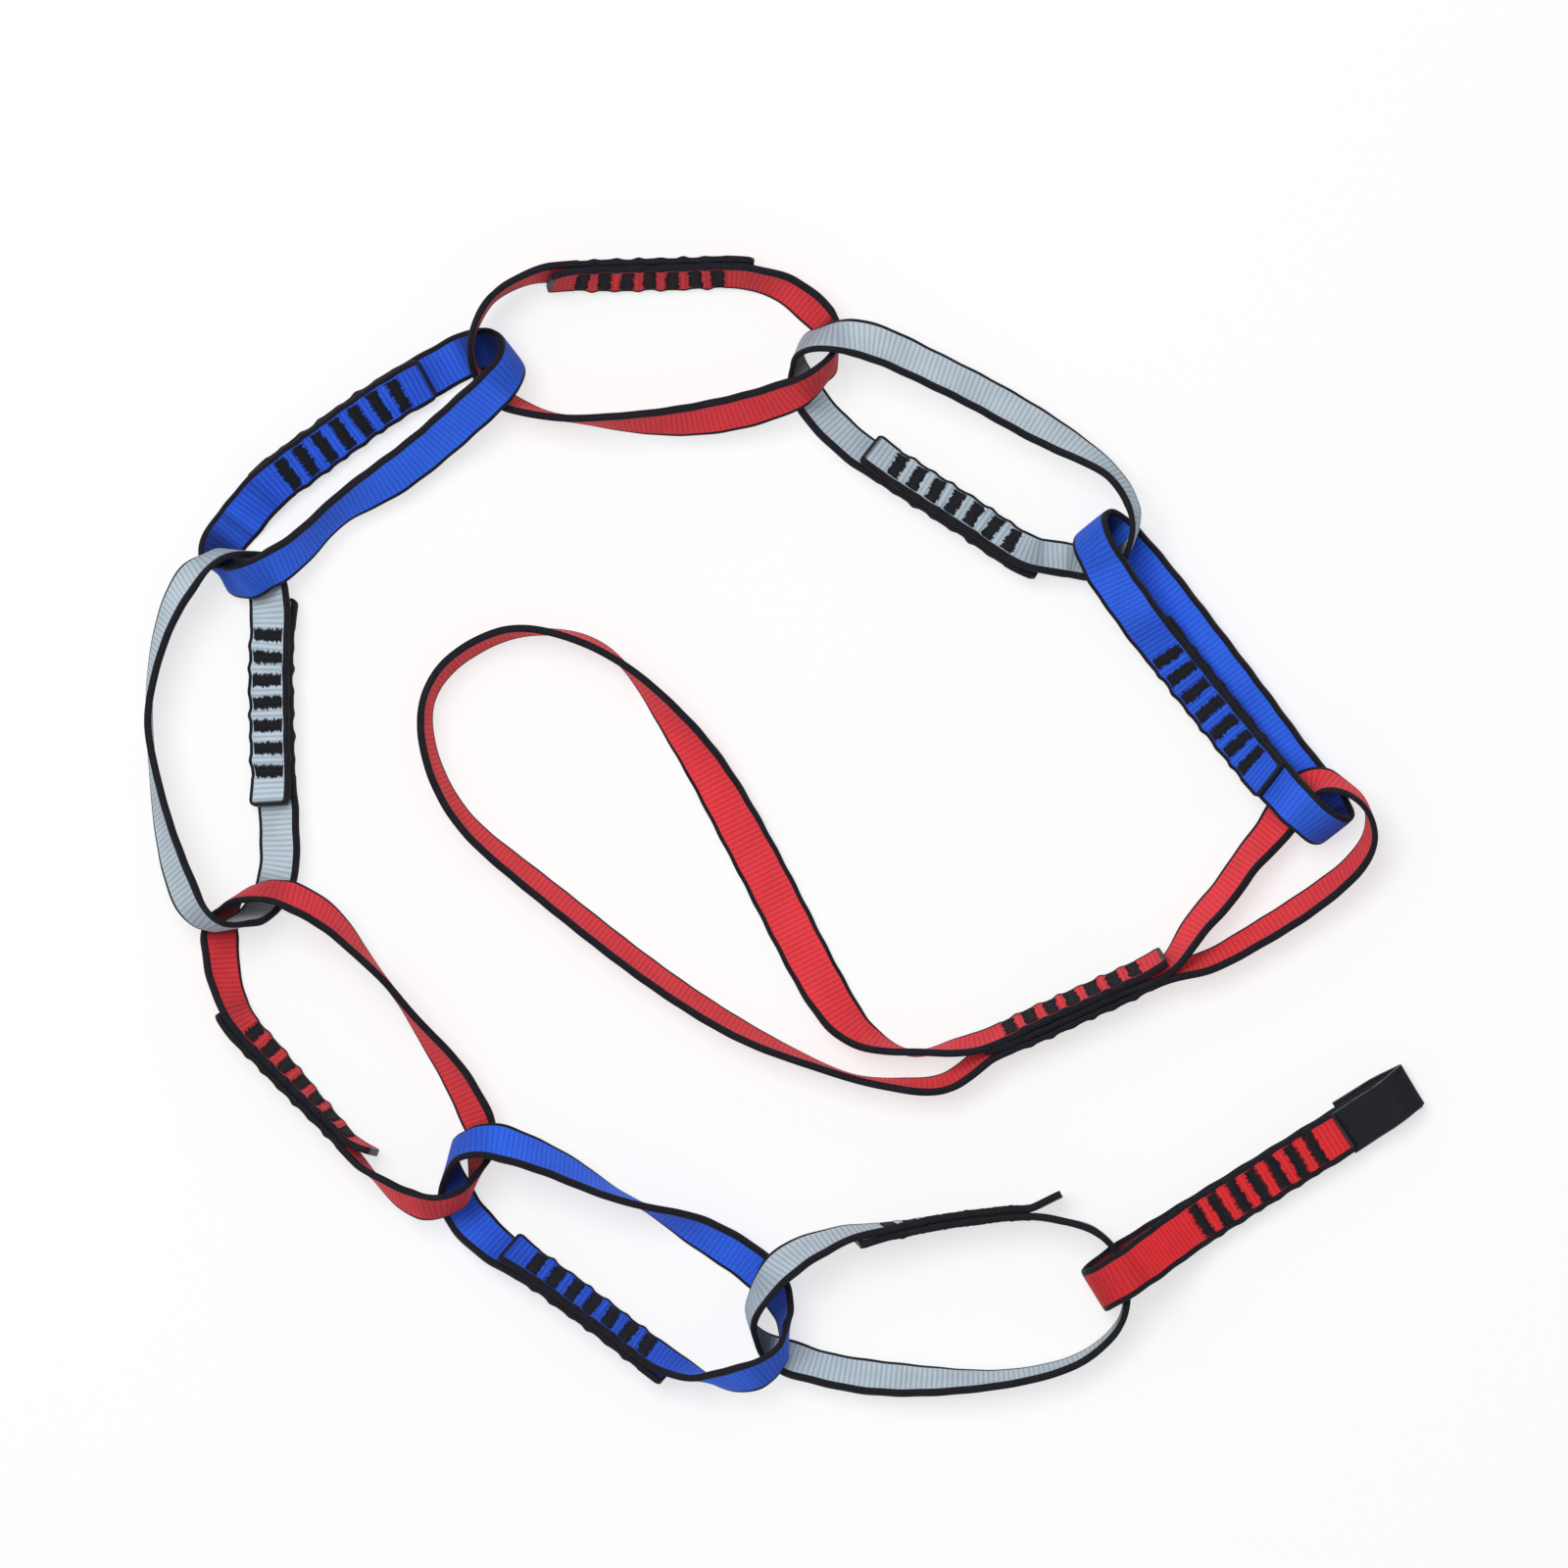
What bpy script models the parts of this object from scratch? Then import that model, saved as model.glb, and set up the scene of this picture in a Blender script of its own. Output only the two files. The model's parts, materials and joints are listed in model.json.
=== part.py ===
"""Climbing daisy chain: ten sewn webbing loops that pass through one another, laid down in a spiral.

Metres, +Z up. The chain lies on the floor at z = 0, seen from above as in the photograph.
Each loop is one strip of webbing swept along a smooth line through hand-chosen stations.
"""

import math

import bmesh
import bpy
import numpy as np

# Webbing
WEB_WIDTH = 0.016
WEB_THICKNESS = 0.0022
SELVEDGE_BEVEL = 0.0005
PLY_CLEARANCE = 0.0003
FLOOR_CUT = 0.0005

# Loops, measured between the places where they pass through one another
LINK_LENGTH = 0.115
SLING_LENGTH = 0.291

# Sewn laps
LAP_LENGTH = 0.069
LAP_BLEND = 0.014
TAIL_LENGTH = 0.0098
TAIL_FLARE = 0.004

# Bar tacks
BAR_COUNT = 7
BAR_PITCH = 0.0077
BAR_WIDTH = 0.0026
BAR_LENGTH = 0.0112
WALKING_STITCH = 0.0007
THREAD_HEIGHT = 0.0006
THREAD_CLEARANCE = 0.0004

# End label
LABEL_LENGTH = 0.0255
LABEL_WIDTH = 0.0168
LABEL_THICKNESS = 0.0009
LABEL_CLEARANCE = 0.0003
LABEL_STITCH_WIDTH = 0.0008
LABEL_STITCH_MARGIN = 0.0018

# How finely a strip is divided: a new ring after this much length, bend or twist
RING_LENGTH = 0.016
RING_BEND_ANGLE = math.radians(18)
FINE_STEPS = 1200
LEVEL_PASSES = 3
CREASE_ANGLE = math.radians(35)

RIGHT_ANGLE = math.pi / 2
# A half turn of the webbing, in right angles
HALF_TURN_SHARE = 2

RED = (0.68, 0.03, 0.04, 1.0)
BLUE = (0.03, 0.09, 0.75, 1.0)
GREY = (0.45, 0.52, 0.58, 1.0)
BLACK = (0.012, 0.013, 0.018, 1.0)
WEB_ROUGHNESS = 0.8
THREAD_ROUGHNESS = 0.6

# Stations of each loop, in its own frame: the origin is where it passes through the loop before,
# and x runs to where the next one passes through it. A station holds, as shares,
#   place along and place across, of the distance between those two places,
#   lift above the floor, of the webbing's width,
#   lean of the webbing's width from upright, of a right angle.
# The first station is the tail of the outer ply. A positive lean takes the top edge away from the
# loop's middle or, where the loop has a leaning side, to that side.
LINK_1_SHARES = (
    (0.11, 0.055, 0.80, 0.69),
    (0.22, 0.056, 0.42, 0.69),
    (0.40, 0.056, 0.24, 0.69),
    (0.60, 0.055, 0.24, 0.69),
    (0.80, 0.055, 0.68, 0.69),
    (0.92, 0.050, 1.06, 0.69),
    (1.02, 0.035, 1.15, 0.69),
    (1.080, 0.005, 0.70, 0.69),
    (1.065, -0.035, 0.12, 0.69),
    (0.98, -0.05, 0.00, 0.69),
    (0.85, -0.055, 0.00, 0.69),
    (0.65, -0.052, 0.00, 0.69),
    (0.45, -0.047, 0.00, 0.69),
    (0.25, -0.040, 0.00, 0.69),
    (0.08, -0.035, 0.00, 0.69),
    (-0.05, -0.035, 0.00, 0.69),
    (-0.115, -0.02, 0.15, 0.69),
    (-0.120, 0.01, 0.66, 0.69),
    (-0.06, 0.035, 1.07, 0.69),
    (0.03, 0.048, 1.06, 0.69),
)
LINK_2_SHARES = (
    (0.15, 0.129, 0.03, 0.48),
    (0.32, 0.14, 0.03, 0.48),
    (0.52, 0.137, 0.03, 0.48),
    (0.72, 0.134, 0.03, 0.48),
    (0.844, 0.126, 0.00, 0.48),
    (0.943, 0.096, 0.00, 0.46),
    (1.02, 0.050, 0.08, 0.30),
    (1.053, 0.000, 0.42, 0.00),
    (1.036, -0.052, 0.84, -0.20),
    (0.985, -0.097, 1.00, -0.45),
    (0.90, -0.136, 0.92, -0.55),
    (0.75, -0.161, 0.72, -0.52),
    (0.55, -0.181, 0.52, -0.50),
    (0.35, -0.19, 0.47, -0.46),
    (0.20, -0.194, 0.50, -0.28),
    (0.10, -0.186, 0.58, -0.16),
    (0.02, -0.150, 0.64, -0.14),
    (-0.035, -0.090, 0.70, -0.08),
    (-0.050, -0.030, 0.56, 0.05),
    (-0.040, 0.022, 0.38, 0.26),
    (0.01, 0.059, 0.18, 0.46),
    (0.073, 0.089, 0.02, 0.48),
)
LINK_3_SHARES = (
    (0.187, -0.282, 0.02, 0.28),
    (0.35, -0.290, 0.02, 0.28),
    (0.52, -0.289, 0.04, 0.28),
    (0.70, -0.290, 0.12, 0.26),
    (0.836, -0.289, 0.26, 0.16),
    (0.921, -0.271, 0.38, 0.08),
    (0.989, -0.229, 0.46, 0.04),
    (1.037, -0.163, 0.58, 0.02),
    (1.06, -0.096, 0.58, 0.02),
    (1.060, -0.030, 0.44, 0.00),
    (1.035, 0.030, 0.20, 0.12),
    (0.985, 0.078, 0.02, 0.22),
    (0.92, 0.112, 0.00, 0.16),
    (0.84, 0.140, 0.08, 0.05),
    (0.75, 0.155, 0.22, 0.00),
    (0.62, 0.167, 0.40, -0.14),
    (0.48, 0.171, 0.52, -0.30),
    (0.34, 0.162, 0.60, -0.42),
    (0.20, 0.137, 0.74, -0.46),
    (0.08, 0.100, 0.90, -0.42),
    (0.00, 0.060, 0.94, -0.30),
    (-0.050, 0.010, 0.76, -0.10),
    (-0.070, -0.045, 0.32, 0.00),
    (-0.059, -0.102, 0.01, 0.28),
    (-0.023, -0.147, 0.00, 0.40),
    (0.027, -0.195, 0.00, 0.40),
    (0.095, -0.244, 0.00, 0.34),
)
LINK_4_SHARES = (
    (0.81, -0.138, 0.075, 0.83),
    (0.65, -0.142, 0.075, 0.83),
    (0.45, -0.137, 0.075, 0.83),
    (0.28, -0.126, 0.075, 0.83),
    (0.12, -0.105, 0.04, 0.83),
    (0.02, -0.090, 0.00, 0.83),
    (-0.06, -0.055, 0.10, 0.70),
    (-0.085, -0.010, 0.60, 0.60),
    (-0.04, 0.035, 1.04, 0.60),
    (0.04, 0.052, 1.08, 0.60),
    (0.15, 0.061, 0.88, 0.60),
    (0.32, 0.07, 0.58, 0.60),
    (0.48, 0.066, 0.50, 0.56),
    (0.66, 0.053, 0.50, 0.34),
    (0.80, 0.07, 0.62, 0.40),
    (0.90, 0.071, 0.84, 0.50),
    (0.98, 0.058, 0.90, 0.60),
    (1.045, 0.025, 0.34, 0.72),
    (1.060, -0.030, 0.00, 0.86),
    (1.02, -0.080, 0.00, 0.88),
    (0.93, -0.110, 0.00, 0.86),
)
LINK_5_SHARES = (
    (0.105, 0.090, 0.03, 0.62),
    (0.27, 0.085, 0.03, 0.63),
    (0.45, 0.083, 0.03, 0.63),
    (0.62, 0.085, 0.03, 0.62),
    (0.76, 0.096, 0.00, 0.60),
    (0.87, 0.098, 0.00, 0.60),
    (0.95, 0.077, 0.00, 0.55),
    (1.01, 0.036, 0.20, 0.35),
    (1.045, -0.018, 0.64, 0.10),
    (1.052, -0.080, 0.94, -0.12),
    (1.020, -0.135, 1.02, -0.32),
    (0.95, -0.177, 0.98, -0.38),
    (0.84, -0.215, 0.76, -0.30),
    (0.70, -0.246, 0.50, -0.16),
    (0.56, -0.266, 0.38, -0.04),
    (0.46, -0.275, 0.35, 0.00),
    (0.34, -0.265, 0.38, -0.06),
    (0.20, -0.232, 0.50, -0.18),
    (0.08, -0.180, 0.68, -0.30),
    (0.01, -0.125, 0.80, -0.30),
    (-0.030, -0.065, 0.73, -0.14),
    (-0.038, -0.010, 0.48, 0.00),
    (-0.015, 0.040, 0.18, 0.35),
    (0.035, 0.075, 0.00, 0.58),
)
LINK_6_SHARES = (
    (0.20, -0.225, 0.03, 0.36),
    (0.36, -0.231, 0.03, 0.28),
    (0.52, -0.224, 0.03, 0.20),
    (0.68, -0.216, 0.10, 0.12),
    (0.82, -0.212, 0.28, 0.05),
    (0.90, -0.206, 0.46, -0.12),
    (0.975, -0.182, 0.70, -0.28),
    (1.035, -0.132, 0.86, -0.33),
    (1.062, -0.068, 0.78, -0.20),
    (1.052, 0.000, 0.40, 0.00),
    (1.015, 0.055, 0.08, 0.25),
    (0.96, 0.106, 0.00, 0.42),
    (0.88, 0.135, 0.00, 0.42),
    (0.77, 0.157, 0.00, 0.34),
    (0.64, 0.167, 0.05, 0.18),
    (0.52, 0.174, 0.20, 0.04),
    (0.42, 0.177, 0.34, 0.00),
    (0.30, 0.176, 0.50, -0.14),
    (0.18, 0.168, 0.64, -0.30),
    (0.08, 0.135, 0.78, -0.36),
    (0.01, 0.090, 0.78, -0.30),
    (-0.030, 0.030, 0.60, -0.10),
    (-0.040, -0.030, 0.22, 0.10),
    (-0.015, -0.088, 0.03, 0.46),
    (0.040, -0.136, 0.00, 0.50),
    (0.11, -0.182, 0.00, 0.44),
)
LINK_7_SHARES = (
    (0.79, -0.27, 0.04, 0.30),
    (0.62, -0.24, 0.04, 0.36),
    (0.45, -0.204, 0.04, 0.37),
    (0.28, -0.172, 0.03, 0.40),
    (0.15, -0.152, 0.00, 0.56),
    (0.06, -0.118, 0.00, 0.62),
    (0.00, -0.068, 0.05, 0.46),
    (-0.040, -0.005, 0.42, 0.05),
    (-0.032, 0.055, 0.84, -0.24),
    (0.02, 0.100, 0.98, -0.48),
    (0.10, 0.120, 0.94, -0.48),
    (0.21, 0.127, 0.74, -0.37),
    (0.32, 0.124, 0.52, -0.26),
    (0.44, 0.118, 0.32, -0.08),
    (0.54, 0.124, 0.14, 0.06),
    (0.66, 0.124, 0.02, 0.36),
    (0.78, 0.114, 0.00, 0.52),
    (0.88, 0.097, 0.00, 0.55),
    (0.96, 0.066, 0.00, 0.48),
    (1.015, 0.022, 0.12, 0.25),
    (1.048, -0.034, 0.46, 0.05),
    (1.062, -0.095, 0.84, -0.18),
    (1.040, -0.152, 0.93, -0.38),
    (0.991, -0.207, 0.82, -0.36),
    (0.924, -0.248, 0.45, -0.14),
)
LINK_8_SHARES = (
    (0.865, 0.19, 0.26, 0.02),
    (0.78, 0.21, 0.24, 0.02),
    (0.66, 0.215, 0.22, 0.02),
    (0.52, 0.213, 0.24, 0.02),
    (0.38, 0.206, 0.30, -0.04),
    (0.27, 0.204, 0.42, -0.12),
    (0.15, 0.192, 0.62, -0.29),
    (0.05, 0.152, 0.84, -0.42),
    (-0.025, 0.088, 0.88, -0.34),
    (-0.068, 0.022, 0.66, -0.12),
    (-0.074, -0.038, 0.32, 0.00),
    (-0.045, -0.092, 0.05, 0.28),
    (0.010, -0.130, 0.00, 0.47),
    (0.09, -0.168, 0.00, 0.45),
    (0.20, -0.207, 0.00, 0.45),
    (0.33, -0.238, 0.00, 0.42),
    (0.48, -0.262, 0.00, 0.30),
    (0.64, -0.275, 0.00, 0.17),
    (0.78, -0.268, 0.00, 0.11),
    (0.89, -0.242, 0.00, 0.07),
    (0.965, -0.20, 0.03, 0.04),
    (1.021, -0.142, 0.17, 0.02),
    (1.045, -0.075, 0.24, 0.00),
    (1.048, -0.010, 0.24, 0.00),
    (1.032, 0.055, 0.25, 0.00),
    (0.995, 0.111, 0.27, 0.00),
    (0.94, 0.154, 0.28, 0.00),
)
END_LINK_SHARES = (
    (0.838, -0.005, 0.30, 0.96),
    (0.68, -0.006, 0.25, 0.96),
    (0.50, -0.008, 0.23, 0.96),
    (0.34, -0.010, 0.24, 0.95),
    (0.24, -0.014, 0.44, 0.95),
    (0.14, -0.020, 0.98, 0.94),
    (0.05, -0.025, 1.33, 0.93),
    (-0.02, -0.025, 1.24, 0.93),
    (-0.057, -0.022, 0.80, 0.93),
    (-0.052, -0.016, 0.28, 0.93),
    (-0.01, -0.008, 0.03, 0.94),
    (0.08, -0.003, 0.00, 0.96),
    (0.25, -0.003, 0.00, 0.97),
    (0.50, -0.003, 0.00, 0.97),
    (0.70, -0.002, 0.02, 0.97),
    (0.846, -0.001, 0.11, 0.97),
    (0.962, 0.000, 0.12, 0.97),
    (1.053, 0.002, 0.15, 0.97),
    (1.074, 0.002, 0.27, 0.97),
    (1.048, 0.000, 0.38, 0.97),
    (0.952, -0.002, 0.35, 0.97),
)

# The tie-in sling is one strip with both loops: it runs through the lap, round the large loop,
# back through the lap, round the small loop and once more into the lap, as three plies.
# In the large loop it takes half a twist, so a lean goes on past two right angles.
SLING_LAP_SHARES = (
    (0.135, 0.216, 0.03, -0.22),
    (0.18, 0.2445, 0.03, -0.22),
    (0.235, 0.2795, 0.03, -0.22),
    (0.29, 0.3145, 0.03, -0.22),
    (0.335, 0.343, 0.03, -0.22),
)
LARGE_LOOP_SHARES = (
    (0.375, 0.357, 0.0, -0.12),
    (0.411, 0.359, 0.0, 0.03),
    (0.449, 0.357, 0.0, -0.15),
    (0.485, 0.344, 0.0, -0.45),
    (0.5175, 0.314, 0.0, -0.72),
    (0.5545, 0.266, 0.0, -0.92),
    (0.6065, 0.192, 0.0, -1.04),
    (0.6565, 0.123, 0.0, -1.20),
    (0.706, 0.06, 0.0, -1.42),
    (0.755, 0.009, 0.0, -1.68),
    (0.802, -0.032, 0.0, -1.94),
    (0.85, -0.058, 0.0, -2.08),
    (0.90, -0.066, 0.0, -2.02),
    (0.95, -0.059, 0.0, -1.90),
    (0.99, -0.036, 0.0, -1.86),
    (1.020, -0.005, 0.0, -1.86),
    (1.035, 0.035, 0.0, -1.88),
    (1.029, 0.080, 0.0, -1.87),
    (1.01, 0.121, 0.0, -1.84),
    (0.972, 0.167, 0.0, -1.80),
    (0.912, 0.208, 0.0, -1.74),
    (0.842, 0.249, 0.0, -1.71),
    (0.762, 0.295, 0.0, -1.71),
    (0.682, 0.336, 0.0, -1.73),
    (0.601, 0.369, 0.0, -1.80),
    (0.53, 0.389, 0.0, -1.94),
    (0.47, 0.40, 0.0, -1.98),
    (0.42, 0.399, 0.0, -1.88),
    (0.375, 0.382, 0.0, -1.80),
)
SMALL_LOOP_SHARES = (
    (0.10, 0.203, 0.00, -1.76),
    (0.051, 0.178, 0.00, -1.72),
    (0.007, 0.142, 0.00, -1.70),
    (-0.035, 0.103, 0.04, -1.72),
    (-0.065, 0.067, 0.20, -1.78),
    (-0.077, 0.032, 0.42, -1.87),
    (-0.067, 0.001, 0.58, -2.04),
    (-0.044, -0.016, 0.68, -2.14),
    (-0.014, -0.020, 0.65, -2.30),
    (0.008, -0.006, 0.43, -2.50),
    (0.024, 0.017, 0.15, -2.52),
    (0.037, 0.044, 0.02, -2.46),
    (0.059, 0.079, 0.00, -2.36),
    (0.083, 0.125, 0.00, -2.34),
    (0.111, 0.17, 0.00, -2.30),
)

# Name, colour, heading on the floor in degrees, its distance between neighbours as a share of
# LINK_LENGTH, sense of travel (1 is anticlockwise), leaning side (0 for none), the stations, and
# how far its outer and its inner tail stand off, as shares of TAIL_FLARE.
LINK_LAYOUT_SHARES = (
    ("link_1", BLUE, 128.8, 0.950, -1, -1, LINK_1_SHARES, (0.10, 0.40)),
    ("link_2", GREY, 147.9, 1.025, -1, 0, LINK_2_SHARES, (0.35, 0.25)),
    ("link_3", RED, -178.6, 0.950, 1, 0, LINK_3_SHARES, (0.10, 0.30)),
    ("link_4", BLUE, -142.3, 0.940, -1, -1, LINK_4_SHARES, (0.05, 0.05)),
    ("link_5", GREY, -88.9, 1.010, -1, 0, LINK_5_SHARES, (0.75, 0.65)),
    ("link_6", RED, -50.3, 1.000, 1, 0, LINK_6_SHARES, (0.10, 0.90)),
    ("link_7", BLUE, -24.9, 1.020, -1, 0, LINK_7_SHARES, (0.45, 0.25)),
    ("link_8", GREY, 6.9, 0.990, 1, 0, LINK_8_SHARES, (1.60, 0.20)),
    ("end_link", RED, 31.5, 0.970, 1, -1, END_LINK_SHARES, (0.00, 0.00)),
)
SLING_HEADING_ANGLE = math.radians(171.8)
SLING_FLARE_SHARES = (0.3, 0.3)
# Distance of a ply from the strip's line just past the lap, as a share of the plies' pitch
PARTING_SHARE = 0.9


def unit(rows):
    """Each row scaled to length one."""
    return rows / np.linalg.norm(rows, axis=-1, keepdims=True)


def ease(share):
    """Runs smoothly from 0 to 1 while share does."""
    share = np.clip(share, 0, 1)
    return share * share * (3 - 2 * share)


def spline_slopes(knots, rows, closed):
    """Slopes at the knots of the cubic spline through the rows."""
    count = len(rows)
    gaps = np.diff(knots)
    if closed:
        rows = np.vstack([rows, rows[:1]])
    rise = np.diff(rows, axis=0) / gaps[:, None]
    matrix = np.zeros((count, count))
    target = np.zeros_like(rows[:count])
    for i in range(count):
        if not closed and i in (0, count - 1):
            other = 1 if i == 0 else count - 2
            matrix[i, i], matrix[i, other] = 2, 1
            target[i] = 3 * rise[min(i, count - 2)]
            continue
        before, after = gaps[i - 1], gaps[i]
        matrix[i, (i - 1) % count] = 1 / before
        matrix[i, i] = 2 / before + 2 / after
        matrix[i, (i + 1) % count] = 1 / after
        target[i] = 3 * (rise[i - 1] / before + rise[i] / after)
    return np.linalg.solve(matrix, target)


def spline_points(knots, rows, slopes, places, closed):
    """The spline's rows at the given places."""
    if closed:
        rows, slopes = np.vstack([rows, rows[:1]]), np.vstack([slopes, slopes[:1]])
        places = np.mod(places, knots[-1])
    i = np.clip(np.searchsorted(knots, places, side="right") - 1, 0, len(knots) - 2)
    gap = knots[i + 1] - knots[i]
    u = (places - knots[i]) / gap
    u, gap = u[:, None], gap[:, None]
    return (
        (1 + 2 * u) * (1 - u) ** 2 * rows[i]
        + u * (1 - u) ** 2 * gap * slopes[i]
        + u * u * (3 - 2 * u) * rows[i + 1]
        + u * u * (u - 1) * gap * slopes[i + 1]
    )


class Strip:
    """A strip of webbing, known at many fine steps along its length."""

    def __init__(self, stations, frame, turn, side, closed, flares):
        origin, heading, span = frame
        table = np.array(stations, float)
        along = np.array([math.cos(heading), math.sin(heading), 0])
        across = np.array([-along[1], along[0], 0])
        plan = np.outer(table[:, 0], along) + np.outer(table[:, 1], across)
        lifts = table[:, 2] * WEB_WIDTH - FLOOR_CUT
        rows = np.column_stack([origin + plan * span + np.outer(lifts, [0, 0, 1]), table[:, 3:]])
        ends = np.vstack([rows, rows[:1]]) if closed else rows
        steps = np.linalg.norm(np.diff(ends[:, :3], axis=0), axis=1)
        knots = np.concatenate([[0], np.cumsum(steps)])
        self.loop = knots[-1]
        self.lap = LAP_LENGTH if closed else knots[len(SLING_LAP_SHARES) - 1]
        passes = [0, len(SLING_LAP_SHARES) + len(LARGE_LOOP_SHARES), -len(SLING_LAP_SHARES)]
        self.laps = [0, self.loop] if closed else knots[passes]
        self.length = self.loop + LAP_LENGTH if closed else self.loop
        self.places = np.linspace(0, self.length, FINE_STEPS)
        self.turn, self.side = turn, across * side
        pitch = WEB_THICKNESS + PLY_CLEARANCE
        start, end = self.places, self.length - self.places
        outer = 1 - ease((start - self.lap) / LAP_BLEND)
        inner = 1 - ease((end - self.lap) / LAP_BLEND)
        for _ in range(LEVEL_PASSES):
            fine = spline_points(knots, rows, spline_slopes(knots, rows, closed), self.places, closed)
            line = fine[:, :3]
            self.face_along(line, fine[:, 3] * RIGHT_ANGLE)
            low = self.lowest(line, pitch * ((outer + inner) / 2 if closed else fine[:, 5]))
            rows[:, 2] += lifts - np.interp(knots[:len(rows)], self.places, low)
        flare = TAIL_FLARE * (flares[0] * np.clip(1 - start / TAIL_LENGTH, 0, 1) ** 2
                              - flares[1] * np.clip(1 - end / TAIL_LENGTH, 0, 1) ** 2)
        ply = (outer - inner) / 2 if closed else fine[:, 4]
        self.middle = line + self.outward * (ply * pitch + flare)[:, None]

    def face_along(self, line, lean):
        """Turns the strip's width square to the line, with its lean."""
        self.ahead = unit(np.gradient(line, axis=0))
        flat = unit(self.ahead * [1, 1, 0])
        towards = self.side if self.side.any() else self.turn * np.cross(flat, [0, 0, 1])
        width = np.outer(np.cos(lean), [0, 0, 1]) + np.sin(lean)[:, None] * towards
        width -= np.sum(width * self.ahead, axis=1)[:, None] * self.ahead
        self.width = unit(width)
        self.outward = self.turn * np.cross(self.ahead, self.width)

    def lowest(self, line, reach):
        """Height of the lowest corner of all plies."""
        section = web_section()
        corners = np.outer(self.width[:, 2], section[:, 0]) + np.outer(self.outward[:, 2], section[:, 1])
        return line[:, 2] + corners.min(axis=1) - reach * np.abs(self.outward[:, 2])

    def at(self, place):
        """Middle, width direction and outward direction at a place, on the strap's own flat runs."""
        keep = self.rings()
        return [np.array([np.interp(place, self.places[keep], part[keep, k]) for k in range(3)])
                for part in (self.middle, self.width, self.outward)]

    def rings(self):
        """Fine steps to keep: closer together in a bend or twist, and midway between bar tacks."""
        turn = np.arccos(np.clip(np.sum(self.ahead[1:] * self.ahead[:-1], axis=1), -1, 1))
        twist = np.arccos(np.clip(np.sum(self.width[1:] * self.width[:-1], axis=1), -1, 1))
        step = np.diff(self.places) / RING_LENGTH + np.hypot(turn, twist) / RING_BEND_ANGLE
        run = np.concatenate([[0], np.cumsum(step)])
        even = np.searchsorted(run, np.linspace(0, run[-1], math.ceil(run[-1]) + 1))
        places = self.places[np.minimum(even, FINE_STEPS - 1)]
        row = BAR_PITCH * BAR_COUNT
        for start in self.laps:
            first = start + (self.lap - row) / 2
            outside = (places < first - RING_LENGTH / 4) | (places > first + row + RING_LENGTH / 4)
            places = np.append(places[outside], np.linspace(first, first + row, BAR_COUNT + 1))
        return np.searchsorted(self.places, np.sort(places))


def web_section():
    """Corners of the webbing's section, as (across the width, through the thickness)."""
    half, deep, cut = WEB_WIDTH / 2, WEB_THICKNESS / 2, SELVEDGE_BEVEL
    quarter = [(half, deep - cut), (half - cut, deep)]
    left = [(-a, b) for a, b in reversed(quarter)]
    return np.array(quarter + left + [(-a, -b) for a, b in quarter + left])


def sweep(middles, widths, outwards, section):
    """Points and faces of a section carried along a line, with both ends closed."""
    count = len(section)
    points = (middles[:, None] + widths[:, None] * section[None, :, :1]
              + outwards[:, None] * section[None, :, 1:]).reshape(-1, 3)
    faces = []
    for ring in range(len(middles) - 1):
        for k in range(count):
            a, b = ring * count + k, ring * count + (k + 1) % count
            faces.append((a, b, b + count, a + count))
    faces.append(tuple(range(count))[::-1])
    faces.append(tuple(range(len(points) - count, len(points))))
    return points, faces


def strap_shape(strip):
    """The webbing itself."""
    keep = strip.rings()
    return sweep(strip.middle[keep], strip.width[keep], strip.outward[keep], web_section())


def ladder_shape(strip, start, face):
    """One thread of a row of bar tacks: bars joined at alternate ends by walking stitches.

    start is where the ply's lapped part begins, face is 1 for its outer face and -1 for its inner.
    """
    half = BAR_LENGTH / 2
    inner = half - WALKING_STITCH
    row = BAR_PITCH * (BAR_COUNT - 1) + BAR_WIDTH
    begins = [start + (strip.lap - row) / 2 + BAR_PITCH * bar for bar in range(BAR_COUNT)]
    loops = []
    for bar, a in enumerate(begins):
        b, side = a + BAR_WIDTH, 1 if bar % 2 else -1
        coming = [(a, -side * inner)] if bar else []
        leaving = [(b, side * inner)] if bar < BAR_COUNT - 1 else []
        loops.append([(a, -half), (b, -half)] + leaving + [(b, half), (a, half)] + coming)
        if leaving:
            c, (v, w) = begins[bar + 1], sorted((side * inner, side * half))
            loops.append([(b, v), (c, v), (c, w), (b, w)])
    corners = sorted({corner for loop in loops for corner in loop})
    tops = [[corners.index(corner) for corner in loop] for loop in loops]
    low = WEB_THICKNESS / 2 + THREAD_CLEARANCE
    points = []
    for height in (low, low + THREAD_HEIGHT):
        for place, v in corners:
            middle, width, outward = strip.at(place)
            points.append(middle + width * v + outward * face * height)
    count = len(corners)
    faces = [[count + k for k in top] for top in tops] + [top[::-1] for top in tops]
    edges = {edge for top in tops for edge in zip(top, top[1:] + top[:1])}
    rim = sorted((a, b) for a, b in edges if (b, a) not in edges)
    faces += [(a, b, b + count, a + count) for a, b in rim]
    return np.array(points), faces


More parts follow.
